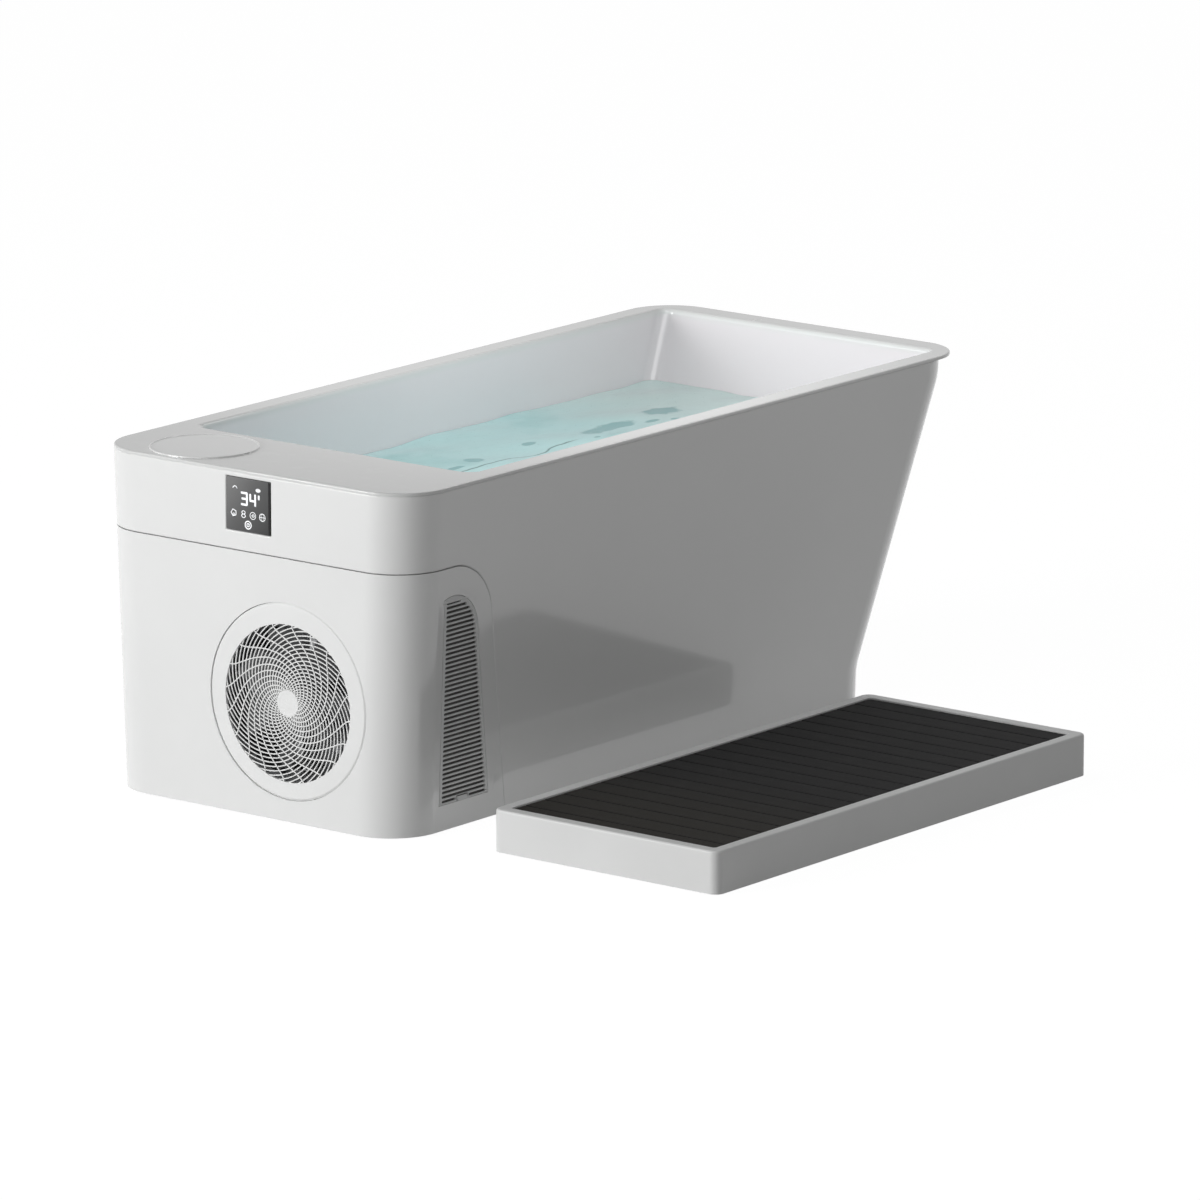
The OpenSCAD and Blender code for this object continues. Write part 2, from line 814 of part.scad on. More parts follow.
module fan_shaft() {
    color("silver") translate([fan_x, fan_y, fan_z]) along_y()
        cylinder(r = shaft_radius, h = fan_hub_depth + motor_gap + shaft_stub);
}

module fan_blades() {
    color("darkgray") translate([fan_x, fan_y, fan_z]) along_y() difference() {
        union() {
            cylinder(r = fan_hub_radius, h = fan_hub_depth);
            intersection() {
                cylinder(r = blade_radius, h = fan_hub_depth);
                for (i = [0 : blade_count - 1]) rotate(360 * i / blade_count)
                    translate([blade_radius / 2, 0, fan_hub_depth / 2]) rotate([blade_pitch, 0, 0])
                        cube([blade_radius, blade_chord, blade_thickness], center = true);
            }
        }
        translate([0, 0, -cut]) cylinder(r = shaft_radius + press_gap, h = fan_hub_depth + 2 * cut);
    }
}

// Condenser
module condenser_core() {
    pitch = condenser_width / fin_count;
    color("silver") translate([fan_x - condenser_width / 2, condenser_y, 0]) {
        difference() {
            translate([0, 0, condenser_top - condenser_height])
                cube([condenser_width, condenser_depth, condenser_height]);
            for (i = [0 : fin_count - 1]) translate([(i + (1 - fin_slot_share) / 2) * pitch,
                condenser_depth - fin_slot_depth, condenser_top - condenser_height - cut])
                cube([fin_slot_share * pitch, fin_slot_depth + cut, condenser_height + 2 * cut]);
        }
        for (x = [-condenser_plate, condenser_width]) translate([x, 0, tray_z + tray_thickness])
            cube([condenser_plate, condenser_depth, condenser_top - tray_z - tray_thickness]);
    }
}

module condenser_bends() {
    color("peru") for (side = [-1, 1], i = [0 : bend_count - 1]) {
        x = fan_x + side * (condenser_width / 2 + condenser_plate);
        z = over_bend(i) + bend_pitch / 2;
        y = condenser_y + condenser_depth / 2;
        pipe([[x, y, z], [x + side * bend_reach, y, z], [x + side * bend_reach, y, z + bend_pitch],
            [x, y, z + bend_pitch]], bend_radius);
    }
}

// Compressor
module compressor() {
    color("black") translate([compressor_x, from_head(compressor_from_head), compressor_z]) {
        difference() {
            intersection() {
                cylinder(r = compressor_foot_radius, h = compressor_foot);
                cube(2 * compressor_foot_radius * [1, 0.9, 1], center = true);
            }
            mount_places() cylinder(r = mount_radius / 2, h = 4 * compressor_foot, center = true);
        }
        translate([0, 0, compressor_foot]) rotate_extrude() polygon(concat(
            [[0, 0], [compressor_radius, 0]],
            [for (i = [0 : arc_steps]) let (a = 90 * i / arc_steps)
                [compressor_top_radius + (compressor_radius - compressor_top_radius) * cos(a),
                    compressor_height + compressor_dome * sin(a)]],
            [[0, compressor_height + compressor_dome]]));
    }
}

module mount_places() {
    for (i = [0 : mount_count - 1]) rotate(360 * (i + 0.5) / mount_count)
        translate([mount_ring, 0, 0]) children();
}

module compressor_mounts() {
    color("black") translate([compressor_x, from_head(compressor_from_head), tray_z + tray_thickness])
        mount_places() cylinder(r = mount_radius, h = mount_height);
}

module heat_exchanger() {
    color("dimgray") translate([exchanger_x, from_head(exchanger_from_head), exchanger_z]) {
        cylinder(r = exchanger_base_radius, h = exchanger_base);
        cylinder(r = exchanger_radius, h = exchanger_height);
        translate([0, 0, outlet_rise - exchanger_z]) along_x()
            translate([0, 0, -exchanger_radius - exchanger_boss / 2])
            cylinder(r = exchanger_boss_radius, h = exchanger_boss);
    }
}

// Refrigerant lines
line_radius = 5;
discharge_z = over_bend(bend_count - 1);
liquid_z = over_bend(1);
suction_line_rise = 26;
suction_line_z = compressor_top + suction_line_rise;
suction_line_from_head = 196;

module refrigerant_lines() {
    core_y = condenser_y + condenser_depth / 2;
    side = condenser_width / 2 + condenser_plate;
    compressor_y = from_head(compressor_from_head);
    behind = from_head(suction_line_from_head);
    exchanger_y = from_head(exchanger_from_head);
    away = compressor_top_radius / 2;
    color("peru") {
        pipe([[compressor_x + away, compressor_y, compressor_top],
            [compressor_x + away, compressor_y, discharge_z],
            [compressor_x + away, core_y, discharge_z], [fan_x - side, core_y, discharge_z]],
            line_radius);
        pipe([[fan_x + side, core_y, liquid_z], [exchanger_x, core_y, liquid_z],
            [exchanger_x, exchanger_y - exchanger_radius - slack, liquid_z]], line_radius);
        pipe([[compressor_x - away, compressor_y, compressor_top],
            [compressor_x - away, compressor_y, suction_line_z],
            [compressor_x - away, behind, suction_line_z],
            [exchanger_x - exchanger_radius - exchanger_boss, behind, suction_line_z],
            [exchanger_x - exchanger_radius - exchanger_boss, exchanger_y, suction_line_z],
            [exchanger_x - exchanger_radius - slack, exchanger_y, suction_line_z]], line_radius);
    }
}

// Pump
module pump_housing() {
    color("black") translate([pump_x, from_head(pump_from_head), pump_z]) {
        along_x() difference() {
            union() {
                cylinder(r = volute_radius, h = volute_depth);
                translate([0, 0, -volute_wall]) cylinder(r = pipe_radius + volute_wall, h = 2 * volute_wall);
            }
            translate([0, 0, volute_wall])
                cylinder(r = volute_radius - volute_wall, h = volute_depth - 2 * volute_wall);
            translate([0, 0, -volute_wall - cut])
                cylinder(r = pipe_radius - volute_wall, h = 2 * volute_wall + 2 * cut);
            translate([0, 0, volute_depth - volute_wall - cut])
                cylinder(r = pump_shaft_radius + bore_gap, h = volute_wall + 2 * cut);
            translate([-volute_radius - cut, 0, volute_depth / 2]) along_x()
                cylinder(r = thin_pipe_radius - volute_wall, h = volute_radius);
        }
        translate([0, -pump_foot_width / 2, tray_z + tray_thickness - pump_z])
            cube([volute_depth, pump_foot_width,
                pump_z - tray_z - tray_thickness - volute_radius + volute_wall / 2]);
    }
}

module pump_motor() {
    color("darkslategray") translate([pump_x + volute_depth, from_head(pump_from_head), pump_z]) {
        along_x() difference() {
            cylinder(r = pump_motor_radius, h = pump_motor_length);
            translate([0, 0, -cut]) cylinder(r = pump_shaft_radius + bore_gap, h = pump_shaft_stub + cut + slack);
        }
        translate([pump_motor_length / 4, -pump_foot_width / 2, tray_z + tray_thickness - pump_z])
            cube([pump_motor_length / 2, pump_foot_width,
                pump_z - tray_z - tray_thickness - pump_motor_radius / 2]);
    }
}

module pump_impeller() {
    middle = volute_depth / 2;
    color("white") translate([pump_x, from_head(pump_from_head), pump_z]) along_x() {
        translate([0, 0, middle - impeller_depth / 2]) {
            cylinder(r = impeller_hub_radius, h = impeller_depth);
            cylinder(r = impeller_radius, h = impeller_disc);
            for (i = [0 : vane_count - 1]) rotate(360 * (i + 0.25) / vane_count)
                translate([impeller_hub_radius - vane_thickness, -vane_thickness / 2, impeller_disc / 2])
                cube([impeller_radius - impeller_hub_radius, vane_thickness,
                    impeller_depth - impeller_disc]);
        }
        translate([0, 0, middle])
            cylinder(r = pump_shaft_radius, h = volute_depth - middle + pump_shaft_stub);
    }
}

// Filter
module at_filter(z) { translate([filter_x, filter_y, z]) children(); }

module filter_housing() {
    color("lightgray") difference() {
        union() {
            at_filter(filter_low) cylinder(r = filter_housing_radius, h = filter_depth);
            at_filter(rim_under - filter_flange) cylinder(r = filter_flange_radius, h = filter_flange);
            suction_port(pipe_radius + filter_wall, filter_housing_radius + filter_flange);
        }
        at_filter(filter_low + filter_wall)
            cylinder(r = filter_housing_radius - filter_wall, h = filter_depth);
        suction_port(pipe_radius - filter_wall, filter_housing_radius + filter_flange + cut);
        translate([inlet_pipe_x, from_head(inlet_pipe_from_head), filter_low - cut])
            cylinder(r = pipe_radius - filter_wall, h = filter_wall + 2 * cut);
    }
}

module suction_port(r, length) { at_filter(suction_z) along_y() cylinder(r = r, h = length); }

cartridge_low = filter_low + filter_wall + cartridge_low_space;
cartridge_high = rim_under - cartridge_high_space;
seal_z = rim_under - seal_below;
seal_ring = filter_housing_radius - filter_wall - seal_radius - seal_space;

module filter_cartridge() {
    pleats = [for (i = [0 : 2 * pleat_count - 1]) let (a = 180 * i / pleat_count,
        r = cartridge_radius - (i % 2) * pleat_depth) r * [cos(a), sin(a)]];
    color("aliceblue") at_filter(cartridge_low) difference() {
        union() {
            linear_extrude(cartridge_high - cartridge_low) polygon(pleats);
            for (z = [0, cartridge_high - cartridge_low - cartridge_end]) translate([0, 0, z])
                cylinder(r = cartridge_radius + cartridge_end / 4, h = cartridge_end);
        }
        translate([0, 0, -cut])
            cylinder(r = cartridge_bore, h = cartridge_high - cartridge_low - cartridge_end);
    }
}

module filter_cap() {
    color("white") at_filter(0) difference() {
        union() {
            rotate_extrude() polygon(concat(
                [[0, tub_height], [cap_radius - cap_edge / 2, tub_height]],
                [for (i = [0 : arc_steps]) let (a = 90 * i / arc_steps)
                    [cap_radius - cap_edge * (1 - cos(a)),
                        tub_height + cap_rise - cap_edge * (1 - sin(a))]],
                [[0, tub_height + cap_rise + cap_crown]]));
            translate([0, 0, tub_height - cap_spigot_depth])
                cylinder(r = cap_spigot_radius, h = cap_spigot_depth + cap_rise / 2);
            translate([0, 0, cartridge_high])
                cylinder(r = cap_stem_radius, h = tub_height - cartridge_high);
        }
        for (side = [-1, 1]) translate([side * cap_radius - cap_notch_depth, -cap_notch_width / 2,
            tub_height - cut])
            cube([2 * cap_notch_depth, cap_notch_width, cap_rise / 2 + cut]);
        rotate_extrude() translate([seal_ring, seal_z]) square(2 * (seal_radius + slack), center = true);
    }
}

module cap_seal() {
    color("black") at_filter(0) rotate_extrude() translate([seal_ring, seal_z])
        circle(seal_radius, $fn = 32);
}

// Fittings in the basin's head wall
module wall_fitting(x, z, slots) {
    color("white") on_head_wall(x, z) difference() {
        union() {
            translate([0, 0, -basin_wall - fitting_flange]) cylinder(r = fitting_radius, h = fitting_flange);
            translate([0, 0, -basin_wall - fitting_flange])
                cylinder(r = fitting_neck, h = basin_wall + fitting_flange + fitting_tail);
        }
        translate([0, 0, -basin_wall]) cylinder(r = fitting_bore, h = basin_wall + fitting_tail + cut);
        if (slots) for (i = [0 : fitting_slots - 1])
            translate([(i - (fitting_slots - 1) / 2) * slot_pitch - slot_width / 2,
                -fitting_bore / 2, -basin_wall - fitting_flange - cut])
                cube([slot_width, fitting_bore, fitting_flange + 2 * cut]);
        if (!slots) translate([0, 0, -basin_wall - fitting_flange - cut])
            cylinder(r = jet_eye_radius, h = fitting_flange + 2 * cut);
    }
}

module suction_fitting() { wall_fitting(filter_x, suction_z, true); }
module return_jet() { wall_fitting(return_x, return_z, false); }

// Where a pipe along +Y stops, just short of a fitting's tail
function tail_y(z) = basin_head(z) - basin_wall - fitting_tail
    - fitting_neck * sin(head_wall_angle) - slack;

module suction_pipe() {
    color("lightgray") bar([filter_x, filter_y + filter_housing_radius + filter_flange, suction_z],
        [filter_x, tail_y(suction_z), suction_z], pipe_radius);
}

module pump_inlet_pipe() {
    y = from_head(inlet_pipe_from_head);
    color("lightgray") pipe([[inlet_pipe_x, y, filter_low], [inlet_pipe_x, y, pump_z],
        [pump_x - volute_wall, y, pump_z]], pipe_radius);
}

module pump_outlet_pipe() {
    x = pump_x + volute_depth / 2;
    y = from_head(pump_from_head);
    color("lightgray") pipe([[x, y, pump_z + volute_radius + slack], [x, y, outlet_rise],
        [exchanger_x - exchanger_radius - exchanger_boss / 2, y, outlet_rise]], thin_pipe_radius);
}

module return_pipe() {
    y = from_head(exchanger_from_head);
    color("lightgray") pipe([[exchanger_x, y, exchanger_z + exchanger_height],
        [exchanger_x, y, return_z], [return_x, y, return_z], [return_x, tail_y(return_z), return_z]],
        thin_pipe_radius);
}

// Drain
module at_drain(z) { translate([0, from_head(drain_from_head), z]) children(); }

module drain_fitting() {
    color("silver") at_drain(basin_floor) difference() {
        union() {
            cylinder(r = drain_flange_radius, h = drain_flange);
            translate([0, 0, -basin_wall - drain_tail])
                cylinder(r = drain_neck, h = basin_wall + drain_tail + drain_flange / 2);
            translate([0, 0, -basin_wall - drain_flange])
                cylinder(r = drain_flange_radius, h = drain_flange);
        }
        difference() {
            translate([0, 0, -basin_wall - drain_tail - cut])
                cylinder(r = drain_bore, h = basin_wall + drain_tail + drain_flange + 2 * cut);
            translate([0, 0, -plug_stem_length]) {
                cylinder(r = plug_guide, h = drain_flange);
                for (a = [0, 90]) rotate(a) translate([-drain_neck, -plug_spoke / 2, 0])
                    cube([2 * drain_neck, plug_spoke, drain_flange]);
            }
        }
        translate([0, 0, -plug_stem_length - cut])
            cylinder(r = plug_stem + bore_gap, h = plug_stem_length);
    }
}

module drain_plug() {
    color("silver") at_drain(basin_floor + drain_flange) {
        cylinder(r1 = plug_radius, r2 = plug_radius - plug_rise / 2, h = plug_rise);
        translate([0, 0, -drain_flange - plug_stem_length])
            cylinder(r = plug_stem, h = drain_flange + plug_stem_length + plug_rise / 2);
    }
}

valve_out = half_width(drain_z) - shell_wall - valve_space;   // outer end of the valve's body
valve_middle = valve_out - valve_length / 2;

module drain_pipe() {
    low = basin_floor - basin_wall - drain_tail;
    color("lightgray") at_drain(0) {
        pipe([[0, 0, low], [0, 0, drain_z], [valve_length - valve_out, 0, drain_z]], drain_pipe_radius);
        translate([0, 0, low - drain_collar]) cylinder(r = drain_neck, h = drain_collar);
    }
}

module drain_valve() {
    color("silver") at_drain(drain_z) difference() {
        union() {
            translate([-valve_out, 0, 0]) along_x() cylinder(r = valve_radius, h = valve_length);
            translate([-tub_width / 2, 0, 0]) along_x()
                cylinder(r = tail_radius, h = tub_width / 2 - valve_out + valve_space);
            translate([-valve_middle, 0, 0]) cylinder(r = stem_depth, h = valve_radius + stem_height / 2);
        }
        translate([-valve_middle, 0, valve_radius + stem_height / 2 - stem_depth])
            cylinder(r = stem_radius + bore_gap, h = stem_depth + cut);
    }
}

module drain_lever() {
    top = valve_radius + stem_height / 2 + slack;
    color("firebrick") at_drain(drain_z) translate([-valve_middle, 0, 0]) {
        translate([0, 0, top - stem_depth]) cylinder(r = stem_radius, h = stem_depth);
        translate([0, 0, top]) {
            cylinder(r = lever_hub, h = lever_thickness);
            translate([-lever_width / 2, 0, 0]) cube([lever_width, lever_length, lever_thickness]);
        }
    }
}

module power_inlet() {
    color("black") translate([-half_width(inlet_z), from_head(inlet_from_head), inlet_z]) along_x() {
        translate([0, 0, -inlet_out]) cylinder(r = inlet_radius, h = inlet_out + shell_wall + 2 * inlet_nut);
        translate([0, 0, shell_wall + inlet_nut / 8])
            cylinder(r = inlet_nut_radius, h = inlet_nut, $fn = 6);
    }
}

// Display and controls
module display_glass() {
    color("dimgray") translate([0, head, display_z]) front_extrude(glass_thickness)
        rounded_plate([display_width, display_height], glass_corner);
}

module display_housing() {
    color("dimgray") {
        translate([0, from_head(shell_wall), display_z]) front_extrude(housing_depth)
            square([display_width + 2 * housing_border, display_height + housing_border], center = true);
        translate([0, from_head(glass_thickness), display_z]) front_extrude(shell_wall)
            square([display_width, display_height] - 2 * [glass_corner, glass_corner], center = true);
    }
}

module at_box() {
    translate([box_x, from_head(box_from_head), rim_under - box_height]) children();
}

module control_box() {
    color("lightgray") at_box() difference() {
        translate([-box_width / 2, 0, 0]) cube([box_width, box_depth, box_height]);
        translate([-box_width / 2 + box_wall, -cut, box_wall])
            cube([box_width - 2 * box_wall, box_depth - box_wall + cut, box_height - 2 * box_wall]);
    }
}

module control_board() {
    width = box_width - 2 * box_wall - 2 * board_border;
    height = box_height - 2 * box_wall - 2 * board_border;
    back = box_depth - box_wall;
    color("darkgreen") at_box() {
        translate([0, back - board_stand_off - board_thickness, box_height / 2]) {
            front_extrude(board_thickness) square([width, height], center = true);
            for (x = [-1, 1], z = [-1, 1])
                translate([x * board_stand_share * width / 2, board_thickness / 2,
                    z * board_stand_share * height / 2])
                along_y() cylinder(r = board_stand_radius, h = board_stand_off + board_thickness / 2);
        }
    }
}

module control_lid() {
    color("gray") at_box() translate([-box_width / 2, -lid_thickness, 0])
        cube([box_width, lid_thickness, box_height]);
}

// Side vents, drawn for the right wall
// The rear edge of the vent's outline, drawn in by inset, at height z
function vent_rear(z, inset) = from_head(vent_start + vent_width) - inset / cos(vent_edge_slant)
    - (z - vent_low) * tan(vent_edge_slant);

// The vent's outline in the side view, drawn in by inset
function vent_points(inset) =
    let (r = vent_radius - inset,
        arch = [vent_rear(vent_high - vent_radius, 0) - vent_radius / cos(vent_edge_slant),
            vent_high - vent_radius],
        near = from_head(vent_start) + inset)
    concat([[near, vent_low + inset], [vent_rear(vent_low + inset, inset), vent_low + inset]],
        [for (i = [0 : arc_steps]) let (a = vent_edge_slant + (90 - vent_edge_slant) * i / arc_steps,
            p = arch + r * [cos(a), sin(a)]) if (p.x > near) p],
        [[near, arch.y + sqrt(max(0, r * r - pow(near - arch.x, 2)))]]);

hinge_z = vent_high - hinge_from_top;

module hinge_line(radius, reach) {
    near = from_head(vent_start) - reach;
    translate([-vent_depth / 2, near, hinge_z]) along_y()
        cylinder(r = radius, h = hinge_span() + 2 * reach);
}

// Width of the vent's outline at the height of its hinge
function hinge_span() = let (r = vent_radius,
    arch = vent_rear(vent_high - vent_radius, 0) - vent_radius / cos(vent_edge_slant))
    arch + sqrt(r * r - pow(r - hinge_from_top, 2)) - from_head(vent_start);

module vent_opening() {
    translate([-2 * shell_wall, 0, 0]) side_extrude(3 * shell_wall) polygon(vent_points(-vent_gap));
    hinge_line(hinge_pin_radius + bore_gap, hinge_pin_length + vent_gap);
}

module latch_slot(grow) {
    y = from_head(vent_start + latch_middle);
    z = vent_low + vent_foot_bar / 2;
    translate([0, y, z]) cube([4 * vent_depth, latch_width + 2 * grow, latch_height + 2 * grow], center = true);
}

module vent_panel() {
    louvres = floor((vent_high - vent_low - vent_foot_bar - vent_frame) / louvre_pitch) - 1;
    difference() {
        union() {
            translate([-vent_depth, 0, 0]) side_extrude(vent_depth) difference() {
                polygon(vent_points(0));
                intersection() {
                    polygon(vent_points(vent_frame));
                    translate([head, vent_low + vent_foot_bar]) square(tub_length);
                }
            }
            intersection() {
                for (i = [0 : louvres]) translate([-vent_depth / 2, from_head(vent_start) + vent_frame / 2,
                    vent_low + vent_foot_bar + (i + 0.5) * louvre_pitch]) rotate([0, -louvre_tilt, 0])
                    translate([-louvre_chord / 2, 0, -louvre_thickness / 2])
                    cube([louvre_chord, vent_width, louvre_thickness]);
                translate([-2 * vent_depth, 0, 0]) side_extrude(3 * vent_depth) polygon(vent_points(vent_frame / 2));
            }
            hinge_line(hinge_pin_radius, hinge_pin_length);
        }
        latch_slot(latch_gap);
    }
}

module vent_right() { color("gainsboro") on_right_wall() vent_panel(); }
module vent_left() { color("gainsboro") on_left_wall() vent_panel(); }

module dust_pad() {
    translate([-vent_depth - dust_behind - dust_depth, 0, 0]) side_extrude(dust_depth)
        difference() {
            polygon(vent_points(dust_inset));
            translate([head, vent_low]) square([tub_length, vent_foot_bar]);
        }
}

module dust_filter_right() { color("dimgray") on_right_wall() dust_pad(); }
module dust_filter_left() { color("dimgray") on_left_wall() dust_pad(); }

module vent_latch() {
    y = from_head(vent_start + latch_middle);
    z = vent_low + vent_foot_bar / 2;
    translate([-vent_depth - latch_lip, y, z]) side_extrude(vent_depth + latch_lip)
        square([latch_width, latch_height], center = true);
    translate([-vent_depth - latch_lip - slack, y, z]) side_extrude(latch_lip)
        square([latch_width + 2 * latch_lip, latch_height + 2 * latch_lip], center = true);
}

module vent_latch_right() { color("gainsboro") on_right_wall() vent_latch(); }
module vent_latch_left() { color("gainsboro") on_left_wall() vent_latch(); }

// Step
module at_step(z) {
    translate([step_x + step_width / 2, step_y + step_length / 2, z]) children();
}

module step_block(inset, low, high, r) {
    at_step(low) rounded_box([step_width - 2 * inset, step_length - 2 * inset, high - low], r);
}

module step_tray() {
    color("white") difference() {
        union() {
            step_block(0, step_foot_height / 2, step_height - step_fillet, step_corner);
            step_block(step_fillet / 3, step_height - step_fillet - cut, step_height - step_fillet / 3, step_corner);
            step_block(step_fillet, step_height - step_fillet, step_height, step_corner - step_fillet);
        }
        step_block(step_wall, -cut, step_floor_z, step_corner - step_wall);
        step_block(step_rim, step_floor_z + step_floor, step_height + cut, step_corner / 3);
    }
}

mat_width = step_width - 2 * step_rim - 2 * mat_gap;
mat_length = step_length - 2 * step_rim - 2 * mat_gap;

module step_mat() {
    last = floor((mat_length - first_plank - groove_width) / plank_pitch);
    color("darkslategray") at_step(step_floor_z + step_floor) difference() {
        rounded_box([mat_width, mat_length, mat_thickness], step_corner / 3);
        for (i = [0 : last]) translate([-mat_width / 2 - cut,
            first_plank + i * plank_pitch - (mat_length + groove_width) / 2, mat_thickness - groove_depth])
            cube([mat_width + 2 * cut, groove_width, groove_depth + cut]);
    }
}

module step_ribs() {
    color("gainsboro") for (share = step_rib_places_share)
        at_step(step_foot_height) translate([share * step_width - rib_thickness / 2,
            -step_length / 2 + step_wall + slack, 0])
            cube([rib_thickness, step_length - 2 * step_wall - 2 * slack, step_floor_z - step_foot_height]);
}

module step_feet() {
    color("black") for (x = [-1, 1], y = [-1, 0, 1])
        at_step(0) translate([x * (step_width / 2 - step_foot_inset), y * (step_length / 2 - step_foot_inset), 0])
            cylinder(r = step_foot_radius, h = step_floor_z);
}

basin();
outer_skirt();
equipment_cover();
base_rail_right();
base_rail_left();
cross_member_front();
cross_member_middle();
cross_member_rear();
floor_insulation();
levelling_feet();
foot_locknuts();
centre_foot();
equipment_tray();
cover_screws();
fan_grille();
fan_shroud();
motor_bracket();
fan_motor();
fan_shaft();
fan_blades();
condenser_core();
condenser_bends();
compressor();
compressor_mounts();
heat_exchanger();
refrigerant_lines();
pump_housing();
pump_motor();
pump_impeller();
filter_housing();
filter_cartridge();
filter_cap();
cap_seal();
suction_fitting();
return_jet();
suction_pipe();
pump_inlet_pipe();
pump_outlet_pipe();
return_pipe();
drain_fitting();
drain_plug();
drain_pipe();
drain_valve();
drain_lever();
display_glass();
display_housing();
control_box();
control_board();
control_lid();
power_inlet();
vent_right();
vent_left();
dust_filter_right();
dust_filter_left();
vent_latch_right();
vent_latch_left();
step_tray();
step_mat();
step_ribs();
step_feet();
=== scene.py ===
import json
import math
import bmesh
import bpy
from mathutils import Matrix, Vector


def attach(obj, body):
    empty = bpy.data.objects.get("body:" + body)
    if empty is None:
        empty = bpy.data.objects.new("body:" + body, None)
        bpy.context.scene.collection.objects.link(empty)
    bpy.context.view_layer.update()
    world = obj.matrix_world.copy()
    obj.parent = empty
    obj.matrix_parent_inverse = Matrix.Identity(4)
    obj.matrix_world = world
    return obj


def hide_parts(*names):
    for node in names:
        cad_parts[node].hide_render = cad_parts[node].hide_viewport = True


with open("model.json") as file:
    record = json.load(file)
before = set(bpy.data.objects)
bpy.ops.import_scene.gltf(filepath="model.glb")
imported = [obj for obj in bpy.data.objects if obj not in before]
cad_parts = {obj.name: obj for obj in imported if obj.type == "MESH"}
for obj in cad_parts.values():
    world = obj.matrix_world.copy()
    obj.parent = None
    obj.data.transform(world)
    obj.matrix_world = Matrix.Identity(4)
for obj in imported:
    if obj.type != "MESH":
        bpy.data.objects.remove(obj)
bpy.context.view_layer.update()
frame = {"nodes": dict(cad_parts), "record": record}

# The photograph's camera, in metres and degrees
photoView = {
    "place": (11.315783, -14.177248, 4.450735), "turn": 38.247, "dip": 13.037,
    "lens": 296.70, "sensor": 36, "near": 1, "far": 80,
}


def addCamera(values):
    data = bpy.data.cameras.new("photoCamera")
    data.lens, data.sensor_width = values["lens"], values["sensor"]
    data.clip_start, data.clip_end = values["near"], values["far"]
    camera = bpy.data.objects.new("photoCamera", data)
    camera.location = values["place"]
    camera.rotation_euler = (math.radians(90 - values["dip"]), 0, math.radians(values["turn"]))
    bpy.context.scene.collection.objects.link(camera)
    bpy.context.scene.camera = camera


addCamera(photoView)

# Modelling helpers, in metres
hair = 1e-5      # the least distance that shows
sameSpot = 1e-4  # places closer than this are the same
clearGap = 1e-3  # places further apart than this are different
mostly = 0.9     # share of a direction that counts as lying along an axis
almost = 0.9995  # a bevel this wide just leaves its neighbour free


def deselect():
    bpy.ops.object.select_all(action="DESELECT")


def only(piece):
    deselect()
    piece.select_set(True)
    bpy.context.view_layer.objects.active = piece


def named(name):
    piece = bpy.context.object
    bpy.ops.object.transform_apply(location=True, rotation=True, scale=True)
    piece.name = piece.data.name = name
    return piece


def addBlock(name, low, high):
    deselect()
    middle = [(a + b) / 2 for a, b in zip(low, high)]
    size = [b - a for a, b in zip(low, high)]
    bpy.ops.mesh.primitive_cube_add(size=1, location=middle, scale=size)
    return named(name)


def addRod(name, radius, start, end, sides=64):
    deselect()
    run = Vector(end) - Vector(start)
    bpy.ops.mesh.primitive_cone_add(
        vertices=sides, radius1=radius, radius2=radius, depth=run.length,
        location=(Vector(start) + Vector(end)) / 2, rotation=run.to_track_quat("Z", "Y").to_euler())
    return named(name)


def edit(piece):
    only(piece)
    bpy.ops.object.mode_set(mode="EDIT")


def done():
    bpy.ops.object.mode_set(mode="OBJECT")


# Tests that choose faces, edges and points
def middleOf(edge):
    return (edge.verts[0].co + edge.verts[1].co) / 2


def runOf(edge):
    return (edge.verts[1].co - edge.verts[0].co).normalized()


def along(axis):
    return lambda edge: abs(runOf(edge)[axis]) > mostly


def facing(axis, side):
    return lambda face: face.normal[axis] * side > mostly


def upright(edge):
    return abs(edge.verts[0].co.z - edge.verts[1].co.z) > clearGap


def isLevel(face):
    return abs(face.normal.z) > 0.999


def lyingAt(axis, place, slack=sameSpot):
    return lambda item: all(abs(v.co[axis] - place) < slack
                            for v in (item.verts if hasattr(item, "verts") else [item]))


def atHeight(z):
    return lyingAt(2, z)


def pickAll():
    bpy.ops.mesh.select_all(action="SELECT")


def pick(kind, test):
    bpy.ops.mesh.select_mode(type=kind)
    bpy.ops.mesh.select_all(action="DESELECT")
    shape = bmesh.from_edit_mesh(bpy.context.object.data)
    for item in {"VERT": shape.verts, "EDGE": shape.edges, "FACE": shape.faces}[kind]:
        if test(item):
            item.select_set(True)
    shape.select_flush_mode()
    bmesh.update_edit_mesh(bpy.context.object.data)


# What is done to them
def bevel(width, steps, test):
    pick("EDGE", test)
    bpy.ops.mesh.bevel(offset=width, segments=steps, affect="EDGES", clamp_overlap=False)


def move(test, shift):
    pick("VERT", test)
    bpy.ops.transform.translate(value=shift)


def turnAboutY(angle, centre=(0, 0, 0)):
    bpy.ops.transform.rotate(value=angle, orient_axis="Y", center_override=centre)


def extrude(shift):
    bpy.ops.mesh.extrude_region_move(TRANSFORM_OT_translate={"value": shift})


def insetFace(width, shift=None):
    bpy.ops.mesh.inset(thickness=width)
    if shift:
        bpy.ops.transform.translate(value=shift)


def dropFaces(test):
    pick("FACE", test)
    bpy.ops.mesh.delete(type="FACE")


def bridgeAt(z):
    pick("EDGE", lambda e: e.is_boundary and atHeight(z)(e))
    bpy.ops.mesh.bridge_edge_loops()


def flip():
    pickAll()
    bpy.ops.mesh.flip_normals()


def tidy(weld=1e-6):
    pickAll()
    bpy.ops.mesh.remove_doubles(threshold=weld)
    bpy.ops.mesh.normals_make_consistent(inside=False)


